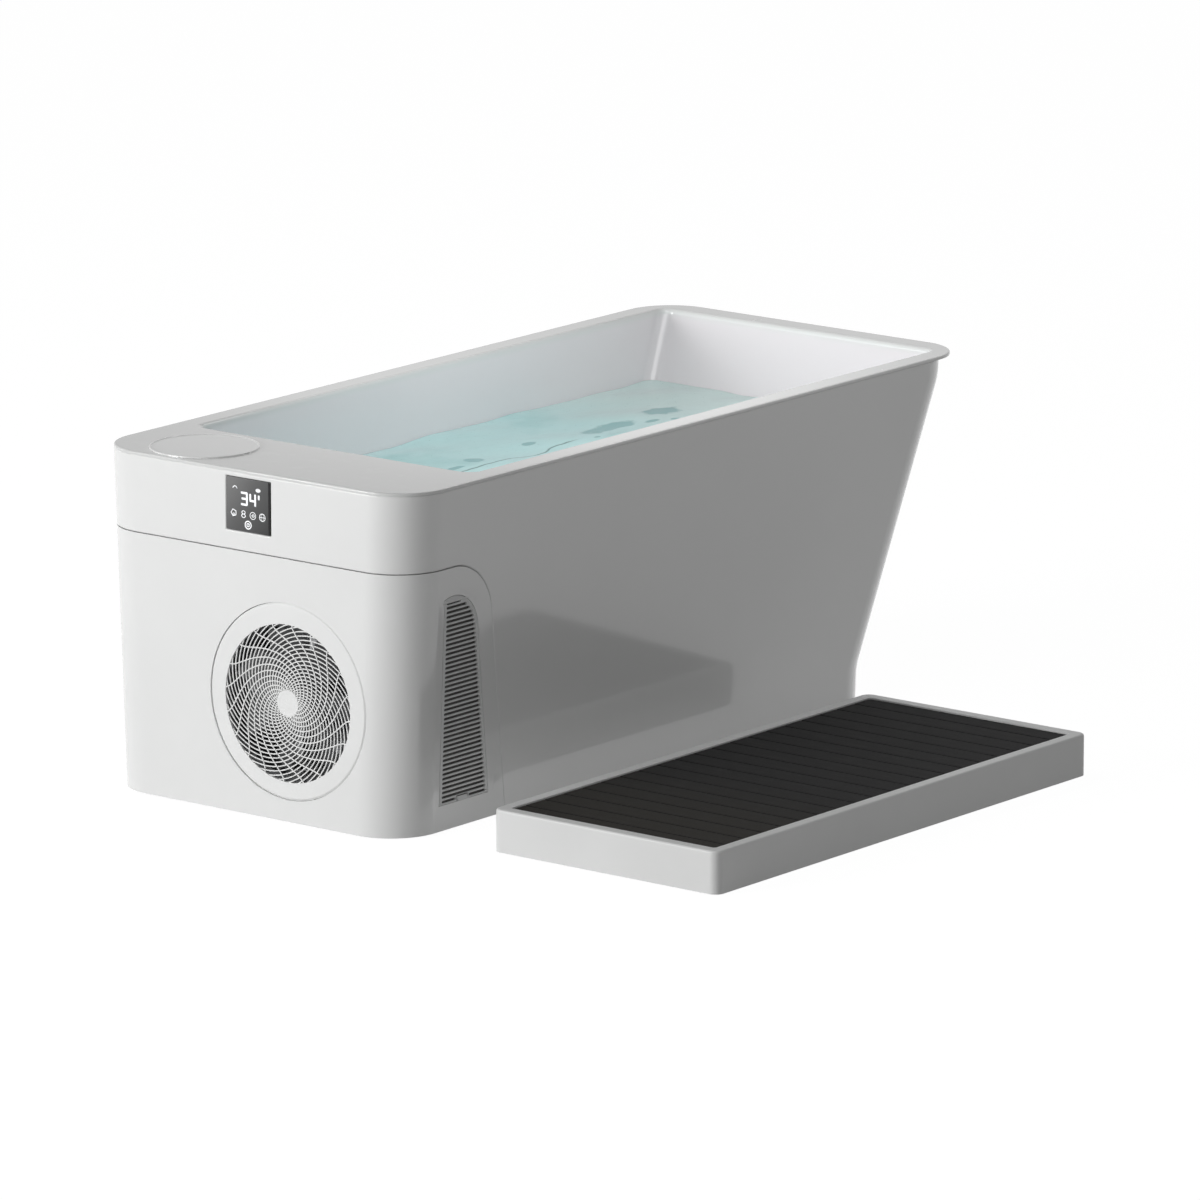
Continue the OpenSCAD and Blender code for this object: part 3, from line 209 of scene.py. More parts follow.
def finishWith(piece, kind, **values):
    only(piece)
    made = piece.modifiers.new(kind.lower(), kind)
    for name, value in values.items():
        setattr(made, name, value)
    bpy.ops.object.modifier_apply(modifier=made.name)
    return piece


def combine(piece, other, way="DIFFERENCE"):
    finishWith(piece, "BOOLEAN", object=other, operation=way, solver="EXACT")
    bpy.data.objects.remove(other)
    return piece


def join(pieces):
    only(pieces[0])
    for piece in pieces:
        piece.select_set(True)
    bpy.ops.object.join()
    return pieces[0]


def copyOf(piece, name, change=None):
    twin = piece.copy()
    twin.data = piece.data.copy()
    twin.name = twin.data.name = name
    bpy.context.scene.collection.objects.link(twin)
    if change:
        twin.data.transform(change)
    return twin


def mirrored(piece, name):
    twin = copyOf(piece, name, Matrix.Scale(-1, 4, (1, 0, 0)))
    edit(twin)
    flip()
    done()
    return twin


def softenEdges(piece, width, steps=2, angle=50):
    return finishWith(piece, "BEVEL", width=width, segments=steps, limit_method="ANGLE",
                      angle_limit=math.radians(angle), use_clamp_overlap=True)


def shade(piece, angle=35, weighted=True):
    only(piece)
    bpy.ops.object.shade_smooth_by_angle(angle=math.radians(angle))
    if weighted:
        finishWith(piece, "WEIGHTED_NORMAL", keep_sharp=True)
    return piece


# A piece takes the given finish and is attached to its body; the CAD nodes that it stands for are hidden
def keep(piece, body, finish, *instead):
    piece.data.materials.clear()
    piece.data.materials.append(finishes[finish])
    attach(piece, body)
    if instead:
        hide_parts(*instead)


# Step and mat sizes
step = {
    "low": (0.508, -0.779, 0.002), "high": (1.018, 0.346, 0.081), "corner": 0.018, "rim": 0.024,
    "wall": 0.006, "matFloor": 0.066, "under": 0.060, "edge": 0.0045, "innerEdge": 0.0015,
    "matLow": (0.533, -0.754, 0.066), "matHigh": (0.993, 0.321, 0.078), "matCorner": 0.006, "matEdge": 0.0006,
    "firstGroove": -0.7155, "groovePitch": 0.0548, "grooves": 19, "groove": (0.003, 0.003),
    "grooveRun": (0.5, 1.03), "grooveTop": 0.1,
}


# Materials
class Wire:
    def __init__(self, tree, socket=None):
        self.tree = tree
        self.socket = socket

    def node(self, kind, settings=None, values=None, give=0):
        made = self.tree.nodes.new("ShaderNode" + kind)
        for name, value in (settings or {}).items():
            if name == "stops":
                ramp = made.color_ramp
                while len(ramp.elements) < len(value):
                    ramp.elements.new(0.5)
                for stop, (place, tone) in zip(ramp.elements, value):
                    stop.position = place
                    stop.color = colour(tone)
            else:
                setattr(made, name, value)
        for name, value in (values or {}).items():
            if isinstance(value, Wire):
                self.tree.links.new(value.socket, made.inputs[name])
            else:
                made.inputs[name].default_value = value
        return Wire(self.tree, made.outputs[give] if made.outputs else None)

    def maths(self, operation, *others):
        return self.node("Math", {"operation": operation}, dict(enumerate((self, *others))))

    def __add__(self, other):
        return self.maths("ADD", other)

    def __mul__(self, other):
        return self.maths("MULTIPLY", other)

    def __sub__(self, other):
        return self.maths("SUBTRACT", other)

    def __rsub__(self, other):
        return self.node("Math", {"operation": "SUBTRACT"}, {0: other, 1: self})

    def __truediv__(self, other):
        return self.maths("DIVIDE", other)

    def __pow__(self, other):
        return self.maths("POWER", other)

    __radd__ = __add__
    __rmul__ = __mul__

    def mix(self, low, high):
        low, high = (colour(tone) if isinstance(tone, tuple) else tone for tone in (low, high))
        return self.node("Mix", {"data_type": "RGBA"}, {0: self, 6: low, 7: high}, 2)

    def ramp(self, stops):
        return self.node("ValToRGB", {"stops": stops}, {"Fac": self})

    def between(self, low, high, newLow=0.0, newHigh=1.0):
        return self.node("MapRange", {"interpolation_type": "SMOOTHSTEP"}, {
            "Value": self, "From Min": low, "From Max": high, "To Min": newLow, "To Max": newHigh})

    def noise(self, scale, detail=3, rough=0.5):
        return self.node("TexNoise", {}, {"Vector": self, "Scale": scale, "Detail": detail, "Roughness": rough})

    def cells(self, scale):
        return self.node("TexVoronoi", {"feature": "F1"}, {"Vector": self, "Scale": scale})

    def stretched(self, size, turn=(0, 0, 0)):
        return self.node("Mapping", {}, {"Vector": self, "Scale": size, "Rotation": turn})

    def parts(self):
        split = self.node("SeparateXYZ", {}, {"Vector": self}).socket.node
        return [Wire(self.tree, out) for out in split.outputs]

    def bump(self, depth, strength=1.0):
        return self.node("Bump", {}, {"Height": self, "Distance": depth, "Strength": strength})


def colour(tone):
    return (*tone, 1)


def newFinish(name):
    finish = bpy.data.materials.new(name)
    finish.use_nodes = True
    finish.node_tree.nodes.clear()
    start = Wire(finish.node_tree)
    return finish, start, start.node("TexCoord", give=3)


def coatWith(finish, start, values):
    start.node("OutputMaterial", {}, {"Surface": start.node("BsdfPrincipled", {}, values)})
    return finish


# A moulded or painted skin: clouds of tone, fine grain and a few dull spots
mouldedSkin = {"clouds": 4, "spots": 38, "dull": 0.04, "uneven": 0.08, "bump": 0.00004, "strength": 0.35,
               "coatRough": 0.08, "ior": 1.46}
mouldedFinishes = {
    "shell_white": {"colour": (0.80, 0.805, 0.80), "rough": 0.34, "coat": 0.8, "coatRough": 0.06,
                    "low": 0.975, "clouds": 2.5, "grain": 420, "bump": 0.00002},
    "basin_white": {"colour": (0.815, 0.82, 0.815), "rough": 0.22, "coat": 0.7, "coatRough": 0.04,
                    "low": 0.98, "clouds": 2, "grain": 380, "bump": 0.00002,
                    # The wall colour is painted light: below the deck the basin is lighter, with a lilac tint
                    "wall": (0.855, 0.825, 0.845), "wallFade": (0.626, 0.641),
                    # The deck colour is painted shade: the deck darkens towards the head end
                    "deck": (0.675, 0.68, 0.675), "paintedDeckShadeFade": (-0.66, -0.20)},
    "grille_white": {"colour": (0.82, 0.825, 0.82), "rough": 0.42, "low": 0.97, "grain": 900},
    "vent_grey": {"colour": (0.74, 0.745, 0.74), "rough": 0.45, "low": 0.96, "grain": 900},
    "step_white": {"colour": (0.78, 0.785, 0.78), "rough": 0.42, "low": 0.965, "clouds": 5, "grain": 800,
                   "bump": 0.00006},
    "black_plastic": {"colour": (0.022, 0.023, 0.025), "rough": 0.48, "low": 0.8, "grain": 1100,
                      "bump": 0.00008},
    "grey_plastic": {"colour": (0.085, 0.087, 0.09), "rough": 0.5, "low": 0.9, "grain": 1000,
                     "bump": 0.00006},
    "pipe_plastic": {"colour": (0.62, 0.63, 0.62), "rough": 0.4, "low": 0.93, "grain": 600},
    "black_enamel": {"colour": (0.016, 0.017, 0.019), "rough": 0.24, "coat": 0.6, "low": 0.85, "grain": 300,
                     "bump": 0.00006},
    "lever_red": {"colour": (0.50, 0.022, 0.018), "rough": 0.38, "coat": 0.3, "low": 0.86, "grain": 900},
    "rubber": {"colour": (0.018, 0.018, 0.019), "rough": 0.78, "low": 0.8, "grain": 1500, "bump": 0.00012},
}


def moulded(name, own):
    finish, start, place = newFinish(name)
    values = {**mouldedSkin, **own}
    base = values["colour"]
    cloud = place.noise(values["clouds"], 4)
    speck = place.noise(values["grain"], 2)
    spots = place.noise(values["spots"], 3).between(0.52, 0.7)
    tone = cloud.between(0.3, 0.7).mix(tuple(c * values["low"] for c in base), base)
    if "wall" in values:
        x, y, z = place.parts()
        # Painted shade: the deck is darker towards the head end
        tone = (y + cloud * 0.1).between(*values["paintedDeckShadeFade"]).mix(values["deck"], tone)
        # Painted light: below the deck the inner walls are lighter, with a lilac tint
        tone = z.between(*values["wallFade"]).mix(values["wall"], tone)
    return coatWith(finish, start, {
        "Base Color": tone, "Metallic": 0.0, "IOR": values["ior"],
        "Roughness": values["rough"] + (cloud - 0.5) * values["uneven"] + spots * values["dull"],
        "Coat Weight": values.get("coat", 0.0), "Coat Roughness": values["coatRough"],
        "Normal": (speck * 0.25 + cloud * 0.4).bump(values["bump"], values["strength"])})


def brushed(name, values):
    finish, start, place = newFinish(name)
    strokes = place.stretched(values.get("strokes", (1, 40, 1))).noise(values["lines"], 4, 0.6)
    stains = place.noise(14, 4)
    base = values["colour"]
    return coatWith(finish, start, {
        "Base Color": stains.between(0.35, 0.65).mix(tuple(c * values["stain"] for c in base), base),
        "Metallic": 1.0, "Roughness": values["rough"] + (strokes - 0.5) * 0.22 + (stains - 0.5) * 0.12,
        "Normal": strokes.bump(0.00003, 0.3)})


def galvanised(name, values):
    finish, start, place = newFinish(name)
    flakes = place.cells(values["flakes"])
    stains = place.noise(11, 4)
    return coatWith(finish, start, {
        "Base Color": (flakes * 1.1).mix(values["dark"], values["light"]), "Metallic": 0.9,
        "Roughness": 0.34 + flakes * 0.25 + (stains - 0.5) * 0.15, "Normal": flakes.bump(0.00002, 0.2)})


def circuitBoard(name, values):
    finish, start, place = newFinish(name)
    tracks = place.node("TexBrick", {"offset": 0.37}, {
        "Vector": place.stretched((1, 1, 1), (math.radians(90), 0, 0)), "Scale": values["tracks"],
        "Color1": colour(values["dark"]), "Color2": colour(values["light"]), "Mortar": colour(values["track"]),
        "Mortar Size": 0.03})
    return coatWith(finish, start, {"Base Color": tracks, "Roughness": 0.35, "Coat Weight": 0.4,
                                    "Normal": place.noise(600).bump(0.00003, 0.3)})


def foam(name, values):
    finish, start, place = newFinish(name)
    tone = place.noise(20, 4).mix(values["dark"], values["light"])
    return coatWith(finish, start, {"Base Color": tone, "Roughness": 0.9,
                                    "Normal": place.cells(values["bubbles"]).bump(0.0006, 0.8)})


def pleated(name, values):
    finish, start, place = newFinish(name)
    fibres = place.stretched((1, 1, 0.15)).noise(values["fibres"], 4, 0.65)
    tone = place.noise(16, 4).between(0.35, 0.7).mix(values["clean"], values["soiled"])
    return coatWith(finish, start, {"Base Color": tone, "Roughness": 0.88, "Normal": fibres.bump(0.0002, 0.6)})


def dustMesh(name, values):
    finish, start, place = newFinish(name)
    y, z = ((part * values["threads"]).maths("SINE") * 0.5 + 0.5 for part in place.parts()[1:])
    tone = place.noise(26, 4).between(0.4, 0.75).mix(values["clean"], values["dusty"])
    return coatWith(finish, start, {"Base Color": tone, "Roughness": 0.85, "Normal": (y * z).bump(0.0003, 0.8)})


def matSurface(name, values):
    finish, start, place = newFinish(name)
    grain = place.stretched((1, 2.5, 1)).noise(320, 4, 0.65)
    scuff = place.stretched((1, 7, 1)).noise(16, 4)
    x, y, z = place.parts()
    black, brown = (grain.between(0.3, 0.75).mix(*values[tint]) for tint in ("black", "brown"))
    tone = (y + scuff * 0.25).between(*values["brownFade"]).mix(brown, black)
    tone = (scuff.between(0.5, 0.8) * 0.4).mix(tone, values["scuffed"])
    # Painted shade: the mat's grooves are darker
    line = ((y - step["firstGroove"]) / step["groovePitch"] + 20.5).maths("FRACT")
    line = (line - 0.5).maths("ABSOLUTE") * step["groovePitch"]
    tone = line.between(*values["grooveFade"]).mix(values["groove"], tone)
    return coatWith(finish, start, {
        "Base Color": tone, "Roughness": 0.72 + grain * 0.2, "Specular IOR Level": 0.22,
        "Normal": (grain + scuff * 0.3).bump(0.0007, 0.7)})


# Patches are dark reflections on the water: place, half width and half length
waterLook = {
    "shallow": (0.585, 0.90, 0.90), "deep": (0.47, 0.81, 0.81), "dark": (0.22, 0.50, 0.51), "rough": 0.14,
    # far is painted light: the far end of the water is lighter
    "far": (0.76, 0.95, 0.92), "farFade": (0.25, 0.62), "sparkle": (0.20, 0.42, 0.43),
    "patches": ((-0.110, 0.505, 0.030, 0.055), (-0.100, 0.330, 0.026, 0.080), (-0.068, 0.428, 0.011, 0.026),
                (-0.049, 0.471, 0.007, 0.012), (-0.055, 0.239, 0.007, 0.012), (-0.127, 0.124, 0.012, 0.018),
                (-0.116, -0.054, 0.018, 0.024), (-0.099, -0.131, 0.008, 0.030)),
    # The line is a painted reflection: a dark wavy line along the water
    "crease": {"colour": (0.09, 0.22, 0.22), "at": -0.0745, "width": 0.0042, "wander": 0.012, "swing": 0.0165,
               "rise": (0.0, 0.06), "fall": (0.08, 0.125), "start": (-0.17, -0.14), "end": (0.17, 0.22)},
}


def waterSurface(name, values):
    finish, start, place = newFinish(name)
    patch = place.stretched((1.5, 1, 1)).noise(5.5, 3)
    fine = place.stretched((1.4, 1, 1)).noise(34, 4)
    x, y, z = place.parts()
    tone = patch.between(0.52, 0.74).mix(values["shallow"], values["deep"])
    tone = (fine.between(0.55, 0.8) * 0.35).mix(tone, values["deep"])
    # Painted light: the water grows lighter towards the far end
    tone = (y.between(*values["farFade"]) * 0.85).mix(tone, values["far"])
    bend = place.stretched((1.4, 1, 1)).noise(20, 3) - 0.5
    for atX, atY, wide, long in values["patches"]:
        away = (((x - atX) / wide) ** 2 + ((y - atY) / long) ** 2).maths("SQRT") + bend * 1.6
        tone = (away.between(0.7, 1.05, 0.8, 0.0)).mix(tone, values["dark"])
    # Painted reflection: a dark wavy line along the water
    c = values["crease"]
    swing = y.between(*c["rise"]) * y.between(*c["fall"], 1.0, 0.0) * c["swing"]
    off = (x - c["at"] - swing - bend * c["wander"]).maths("ABSOLUTE")
    run = y.between(*c["start"]) * y.between(*c["end"], 1.0, 0.0)
    tone = (off.between(0, c["width"], 0.9, 0.0) * run).mix(tone, c["colour"])
    # Painted reflection: small dark specks scattered over the water
    tone = (1 - place.cells(90).between(0.04, 0.11)).mix(tone, values["sparkle"])
    return coatWith(finish, start, {
        "Base Color": tone, "Roughness": values["rough"] + patch * 0.05, "IOR": 1.33,
        "Normal": (patch * 0.7 + fine * 0.3).bump(0.004, 0.35)})


def displayGlass(name, values):
    finish, start, place = newFinish(name)
    x, y, z = place.parts()
    # Painted reflection: a diagonal sweep from grey to near black across the glass
    sweep = (x * 4.6 - (z - 0.58) * 3.4 + 0.5) + place.noise(9, 2) * 0.1
    # Painted shade: a near-black strip along the glass's right edge
    tone = x.between(*values["edgeFade"]).mix(sweep.ramp(values["sweep"]), values["edge"])
    return coatWith(finish, start, {
        "Base Color": tone, "Roughness": 0.16 + place.noise(60, 3) * 0.05, "IOR": 1.38,
        "Normal": place.noise(240).bump(0.00001, 0.1)})


def displayMarks(name, values):
    finish, start, place = newFinish(name)
    tone = (0.9 + place.noise(300, 2) * 0.2).mix(values["dark"], values["light"])
    return coatWith(finish, start, {
        "Base Color": tone, "Roughness": 0.5, "Emission Color": colour(values["glow"]),
        "Emission Strength": 0.35})


otherFinishes = {
    "frame_steel": (galvanised, {"dark": (0.42, 0.43, 0.44), "light": (0.62, 0.63, 0.64), "flakes": 85}),
    "bright_steel": (brushed, {"colour": (0.62, 0.62, 0.61), "rough": 0.26, "lines": 160, "stain": 0.88}),
    "copper": (brushed, {"colour": (0.72, 0.34, 0.20), "rough": 0.3, "lines": 60, "stain": 0.72}),
    "fin_aluminium": (brushed, {"colour": (0.66, 0.67, 0.68), "rough": 0.38, "lines": 220, "stain": 0.88,
                                "strokes": (30, 1, 1)}),
    "circuit_green": (circuitBoard, {"dark": (0.02, 0.16, 0.06), "light": (0.03, 0.20, 0.08),
                                     "track": (0.30, 0.22, 0.06), "tracks": 90}),
    "foam": (foam, {"dark": (0.52, 0.42, 0.24), "light": (0.66, 0.56, 0.36), "bubbles": 420}),
    "filter_fabric": (pleated, {"clean": (0.80, 0.81, 0.80), "soiled": (0.62, 0.62, 0.58), "fibres": 900}),
    "dust_mesh": (dustMesh, {"clean": (0.115, 0.112, 0.108), "dusty": (0.175, 0.171, 0.163),
                             "threads": 2600}),
    "mat_charcoal": (matSurface, {
        "black": ((0.0050, 0.0048, 0.0052), (0.0120, 0.0116, 0.0118)),
        "brown": ((0.0110, 0.0096, 0.0075), (0.0235, 0.0212, 0.0178)), "brownFade": (-0.55, -0.15),
        # The groove colour is painted shade in the mat's grooves
        "scuffed": (0.028, 0.027, 0.026), "groove": (0.0025, 0.0025, 0.0025), "grooveFade": (0.0012, 0.0030)}),
    "display_glass": (displayGlass, {
        # The sweep is a painted reflection across the glass
        "sweep": ((0.05, (0.255, 0.255, 0.254)), (0.5, (0.110, 0.111, 0.112)), (0.95, (0.034, 0.035, 0.036))),
        # The edge colour is painted shade along the glass's right edge
        "edge": (0.003, 0.003, 0.003), "edgeFade": (0.0468, 0.0480)}),
    "displayMarks": (displayMarks, {"dark": (0.6, 0.6, 0.6), "light": (0.85, 0.86, 0.87),
                                    "glow": (0.8, 0.82, 0.84)}),
    "waterSurface": (waterSurface, waterLook),
}

finishes = {name: moulded(name, values) for name, values in mouldedFinishes.items()}
for name, (make, values) in otherFinishes.items():
    finishes[name] = make(name, values)

for part in frame["record"]["subparts"]:
    node = frame["nodes"][part["node"]]
    node.data.materials.clear()
    node.data.materials.append(finishes[part["material_slot"]])
print("finishes ready")

# Basin and deck, in one piece
basin = {
    "top": 0.645, "wallTop": 0.636, "floor": 0.120, "half": 0.328, "sideDraft": 0.045, "wall": 0.006,
    "head": -0.610, "headDraft": 0.028, "foot": 0.797, "footDraft": 0.252,
    "headCorner": 0.030, "footCorner": 0.024, "cornerSteps": 16, "floorBend": 0.021, "bendSteps": 8,
    "rimHalf": 0.3747, "rimLength": 0.850, "rimUnder": 0.639, "rimCorner": 0.099, "rimEdge": 0.003,
    "lip": 0.0088, "filterHole": 0.091, "filterAt": (-0.1963, -0.7405), "filterCut": (0.62, 0.66),
    "drainHole": 0.0203, "drainAt": (0, -0.450), "drainCut": (0.10, 0.14),
    "fittingHole": 0.0213, "fittingsAt": ((-0.1963, 0.400), (0.205, 0.420)), "fittingCut": (-0.02, 0.03),
}


# The basin's inside, or with grow its outer face or the water; the walls lean in towards the floor
def basinForm(name, grow, top, floor):
    b = basin
    form = addBlock(name, (-b["half"] - grow, b["head"] - grow, floor),
                    (b["half"] + grow, b["foot"] + grow, b["wallTop"]))
    share = (b["wallTop"] - floor) / (b["wallTop"] - b["floor"])
    low = atHeight(floor)
    edit(form)
    move(lambda v: low(v) and v.co.y < 0, (0, b["headDraft"] * share, 0))
    move(lambda v: low(v) and v.co.y > 0, (0, -b["footDraft"] * share, 0))
    move(lambda v: low(v) and v.co.x > 0, (-b["sideDraft"] * share, 0, 0))
    move(lambda v: low(v) and v.co.x < 0, (b["sideDraft"] * share, 0, 0))
    if top > b["wallTop"]:
        pick("FACE", facing(2, 1))
        extrude((0, 0, top - b["wallTop"]))
    bevel(b["headCorner"] + grow, b["cornerSteps"], lambda e: upright(e) and middleOf(e).y < 0)
    bevel(b["footCorner"] + grow, b["cornerSteps"], lambda e: upright(e) and middleOf(e).y > 0)
    bevel(b["floorBend"] + grow, b["bendSteps"], low)
    done()
    return form


def makeBasin():
    b = basin
    inner = basinForm("basinShell", 0, b["top"], b["floor"])
    edit(inner)
    dropFaces(atHeight(b["top"]))
    flip()
    done()
    outer = basinForm("outerBasin", b["wall"], b["rimUnder"], b["floor"] - b["wall"])
    edit(outer)
    dropFaces(atHeight(b["rimUnder"]))
    done()
    rim = addBlock("rim", (-b["rimHalf"], -b["rimLength"], b["rimUnder"]),
                   (b["rimHalf"], b["rimLength"], b["top"]))
    edit(rim)
    bevel(b["rimCorner"], b["cornerSteps"], along(2))
    bevel(b["rimEdge"], 5, atHeight(b["top"]))
    dropFaces(isLevel)
    done()
    shell = join([inner, outer, rim])
    edit(shell)
    for z in (b["top"], b["rimUnder"]):
        bridgeAt(z)
    inLip = lambda v: (abs(v.co.x) < b["half"] + clearGap
                       and b["head"] - clearGap < v.co.y < b["foot"] + clearGap)
    bevel(b["lip"], 6, lambda e: atHeight(b["top"])(e) and all(inLip(v) for v in e.verts))
    tidy()
    done()
    holes = [addRod("filterHole", b["filterHole"], *((*b["filterAt"], z) for z in b["filterCut"]), 96),
             addRod("drainHole", b["drainHole"], *((*b["drainAt"], z) for z in b["drainCut"]), 48)]
    draft = b["headDraft"] / (b["wallTop"] - b["floor"])
    out = Vector((0, -math.cos(math.atan(draft)), -math.sin(math.atan(draft))))
    for x, z in b["fittingsAt"]:
        at = Vector((x, b["head"] + draft * (b["wallTop"] - z), z))
        holes.append(addRod("fittingHole", b["fittingHole"], *(at + out * end for end in b["fittingCut"]), 48))
    combine(shell, join(holes))
    return shade(shell, 40)


keep(makeBasin(), "root", "basin_white", "basin")
print("basin ready")

# Skirt with the removable cover over the equipment
skirt = {
    "low": 0.004, "high": 0.639, "plinth": 0.072, "band": 0.605, "half": 0.375, "lean": 0.024, "height": 0.645,
    "head": -0.850, "foot": 0.815, "footLean": 0.229, "corner": 0.099, "wall": 0.006, "bend": 0.014,
    "seam": 0.4945, "seamBendAt": -0.712, "seamRadius": 0.110, "seamSlant": 8.0, "gap": 0.0010,
    "edge": 0.0028, "coverEdge": 0.0012, "headCut": (-0.9, -0.8), "sideCut": (-0.4, -0.3),
    "fanAt": (0.090, 0.2283), "fanHole": 0.1838, "displayAt": 0.5801, "displayHole": (0.0528, 0.0498),
    "inletAt": (-0.500, 0.180), "inletHole": 0.0122, "notchLow": (-0.495, -0.02),
    "notchHigh": (-0.372, 0.118), "notchCorner": 0.012,
    "flangeHalf": 0.300, "flangeCut": 0.052, "flangeDepth": 0.030, "flangeTop": 0.050, "flangeThick": 0.004,
    "flangeEdge": 0.001,
}


def halfWidth(z):
    return skirt["half"] - skirt["lean"] * (1 - z / skirt["height"])


# A tall ring that narrows towards its foot and steps in at the foot end, with an even wall
def shellForm(name):
    s = skirt
    wide = halfWidth(s["high"])
    form = addBlock(name, (-wide, s["head"], s["low"]), (wide, s["foot"], s["high"]))
    edit(form)
    for z in (s["plinth"], s["band"]):
        pickAll()
        bpy.ops.mesh.bisect(plane_co=(0, 0, z), plane_no=(0, 0, 1))
    move(lambda v: v.co.y > 0 and v.co.z < s["plinth"] + clearGap, (0, -s["footLean"], 0))
    for z in (s["low"], s["plinth"], s["band"]):
        pick("VERT", atHeight(z))
        bpy.ops.transform.resize(value=(halfWidth(z) / wide, 1, 1))
    bevel(s["corner"], 16, upright)
    bevel(s["bend"], 3, lambda e: atHeight(s["plinth"])(e) or atHeight(s["band"])(e))
    dropFaces(isLevel)
    tidy()
    done()
    return finishWith(form, "SOLIDIFY", thickness=s["wall"], offset=-1, use_even_offset=True)


# The space that the cover fills: its rear edge slants and bends into the level seam
def coverRegion(name, inset):
    s = skirt
    slant = math.radians(s["seamSlant"])
    rear = lambda z: (s["seamBendAt"] + s["seamRadius"] / math.cos(slant)
                      + (s["seam"] - s["seamRadius"] - z) * math.tan(slant) - inset)
    top, low, front = s["seam"] - inset, -0.05, -0.95
    form = addBlock(name, (-0.5, front, low), (0.5, rear(top), top))
    behind = front + 0.05
    edit(form)
    move(lambda v: v.co.y > behind and v.co.z < 0, (0, rear(low) - rear(top), 0))
    offset = (s["seamRadius"] - inset) / math.tan((math.radians(90) + slant) / 2)
    bevel(offset, 20, lambda e: atHeight(top)(e) and along(0)(e) and middleOf(e).y > behind)
    done()
    return form


vent = {
    "near": -0.7365, "width": 0.1405, "low": 0.0517, "high": 0.440, "radius": 0.070, "slant": 7.6,
    "lean": 2.131, "depth": 0.006, "frame": 0.0070, "footBar": 0.0098, "gap": 0.0009, "edge": 0.0005,
    "slots": 43, "pitch": 0.00863, "slot": 0.0052, "slotTilt": -6, "slotBlank": 0.1, "slotLeast": 0.012,
    "latchAt": (-0.6705, 0.0559), "latchHalf": (0.0145, 0.0035), "latchGap": 0.0028, "latchClear": 0.004,
    "latchRear": -0.0045, "latchTop": -0.0030, "latchFoot": 0.0016, "latchEdge": 0.0004,
    "meshInset": 0.0010, "mesh": (-0.0090, -0.0078), "hinge": (0.430, 0.0018, 0.004), "cut": 0.02,
    "sunk": 0.0022, "pocketEdge": 0.019, "pocketSlope": 0.011, "pocketLift": 0.0004, "weld": 2e-4,
}


def ventRear(z, inset=0.0):
    slant = math.radians(vent["slant"])
    return vent["near"] + vent["width"] - (z - vent["low"]) * math.tan(slant) - inset / math.cos(slant)


# The middle of the round top, along the tub
def archAt():
    return ventRear(vent["high"] - vent["radius"]) - vent["radius"] / math.cos(math.radians(vent["slant"]))


# The vent's outline, flat on the side: level foot, upright front, slanted rear and a round top
def ventForm(name, inset, inside, outside):
    v = vent
    low, high = v["low"] + inset, v["high"] - inset
    radius = v["radius"] - inset
    start = archAt() - radius
    form = addBlock(name, (inside, start, low), (outside, ventRear(high, inset), high))
    atRear = lambda place: place.y > start + 0.01
    topEdge = lambda e: atHeight(high)(e) and along(0)(e)
    edit(form)
    move(lambda p: atRear(p.co) and p.co.z < (low + high) / 2,
         (0, ventRear(low, inset) - ventRear(high, inset), 0))
    offset = radius / math.tan(math.radians((90 + v["slant"]) / 2))
    bevel(offset * almost, 14, lambda e: topEdge(e) and atRear(middleOf(e)))
    bevel(radius * almost, 16, lambda e: topEdge(e) and not atRear(middleOf(e)))
    pickAll()
    bpy.ops.mesh.bisect(plane_co=(0, v["near"] + inset, 0), plane_no=(0, 1, 0), use_fill=True,
                        clear_inner=True)
    tidy(v["weld"])
    done()
    return form


def ontoSide(piece):
    piece.data.transform(Matrix.Translation((halfWidth(0), 0, 0))
                         @ Matrix.Rotation(math.radians(vent["lean"]), 4, "Y"))
    return piece


# The soft hollow round a vent: a hull over its outline and its smaller floor
def makePocket():
    v = vent
    pocket = join([ventForm("ventPocket", -v["pocketEdge"], v["pocketLift"], v["cut"]),
                   ventForm("pocketFloor", v["pocketSlope"] - v["pocketEdge"], -v["sunk"], v["cut"])])
    edit(pocket)
    pickAll()
    bpy.ops.mesh.convex_hull(join_triangles=False)
    tidy()
    done()
    return ontoSide(pocket)


def makeFlange():
    s = skirt
    front = s["head"] + s["wall"]
    flange = addBlock("flange", (-s["flangeHalf"], front, s["flangeTop"] - s["flangeThick"]),
                      (s["flangeHalf"], front + s["flangeDepth"], s["flangeTop"]))
    edit(flange)
    for side in (-1, 1):
        move(lambda v: v.co.x * side > 0 and v.co.y < front + sameSpot, (-side * s["flangeCut"], 0, 0))
    done()
    return softenEdges(flange, s["flangeEdge"], 2, 45)


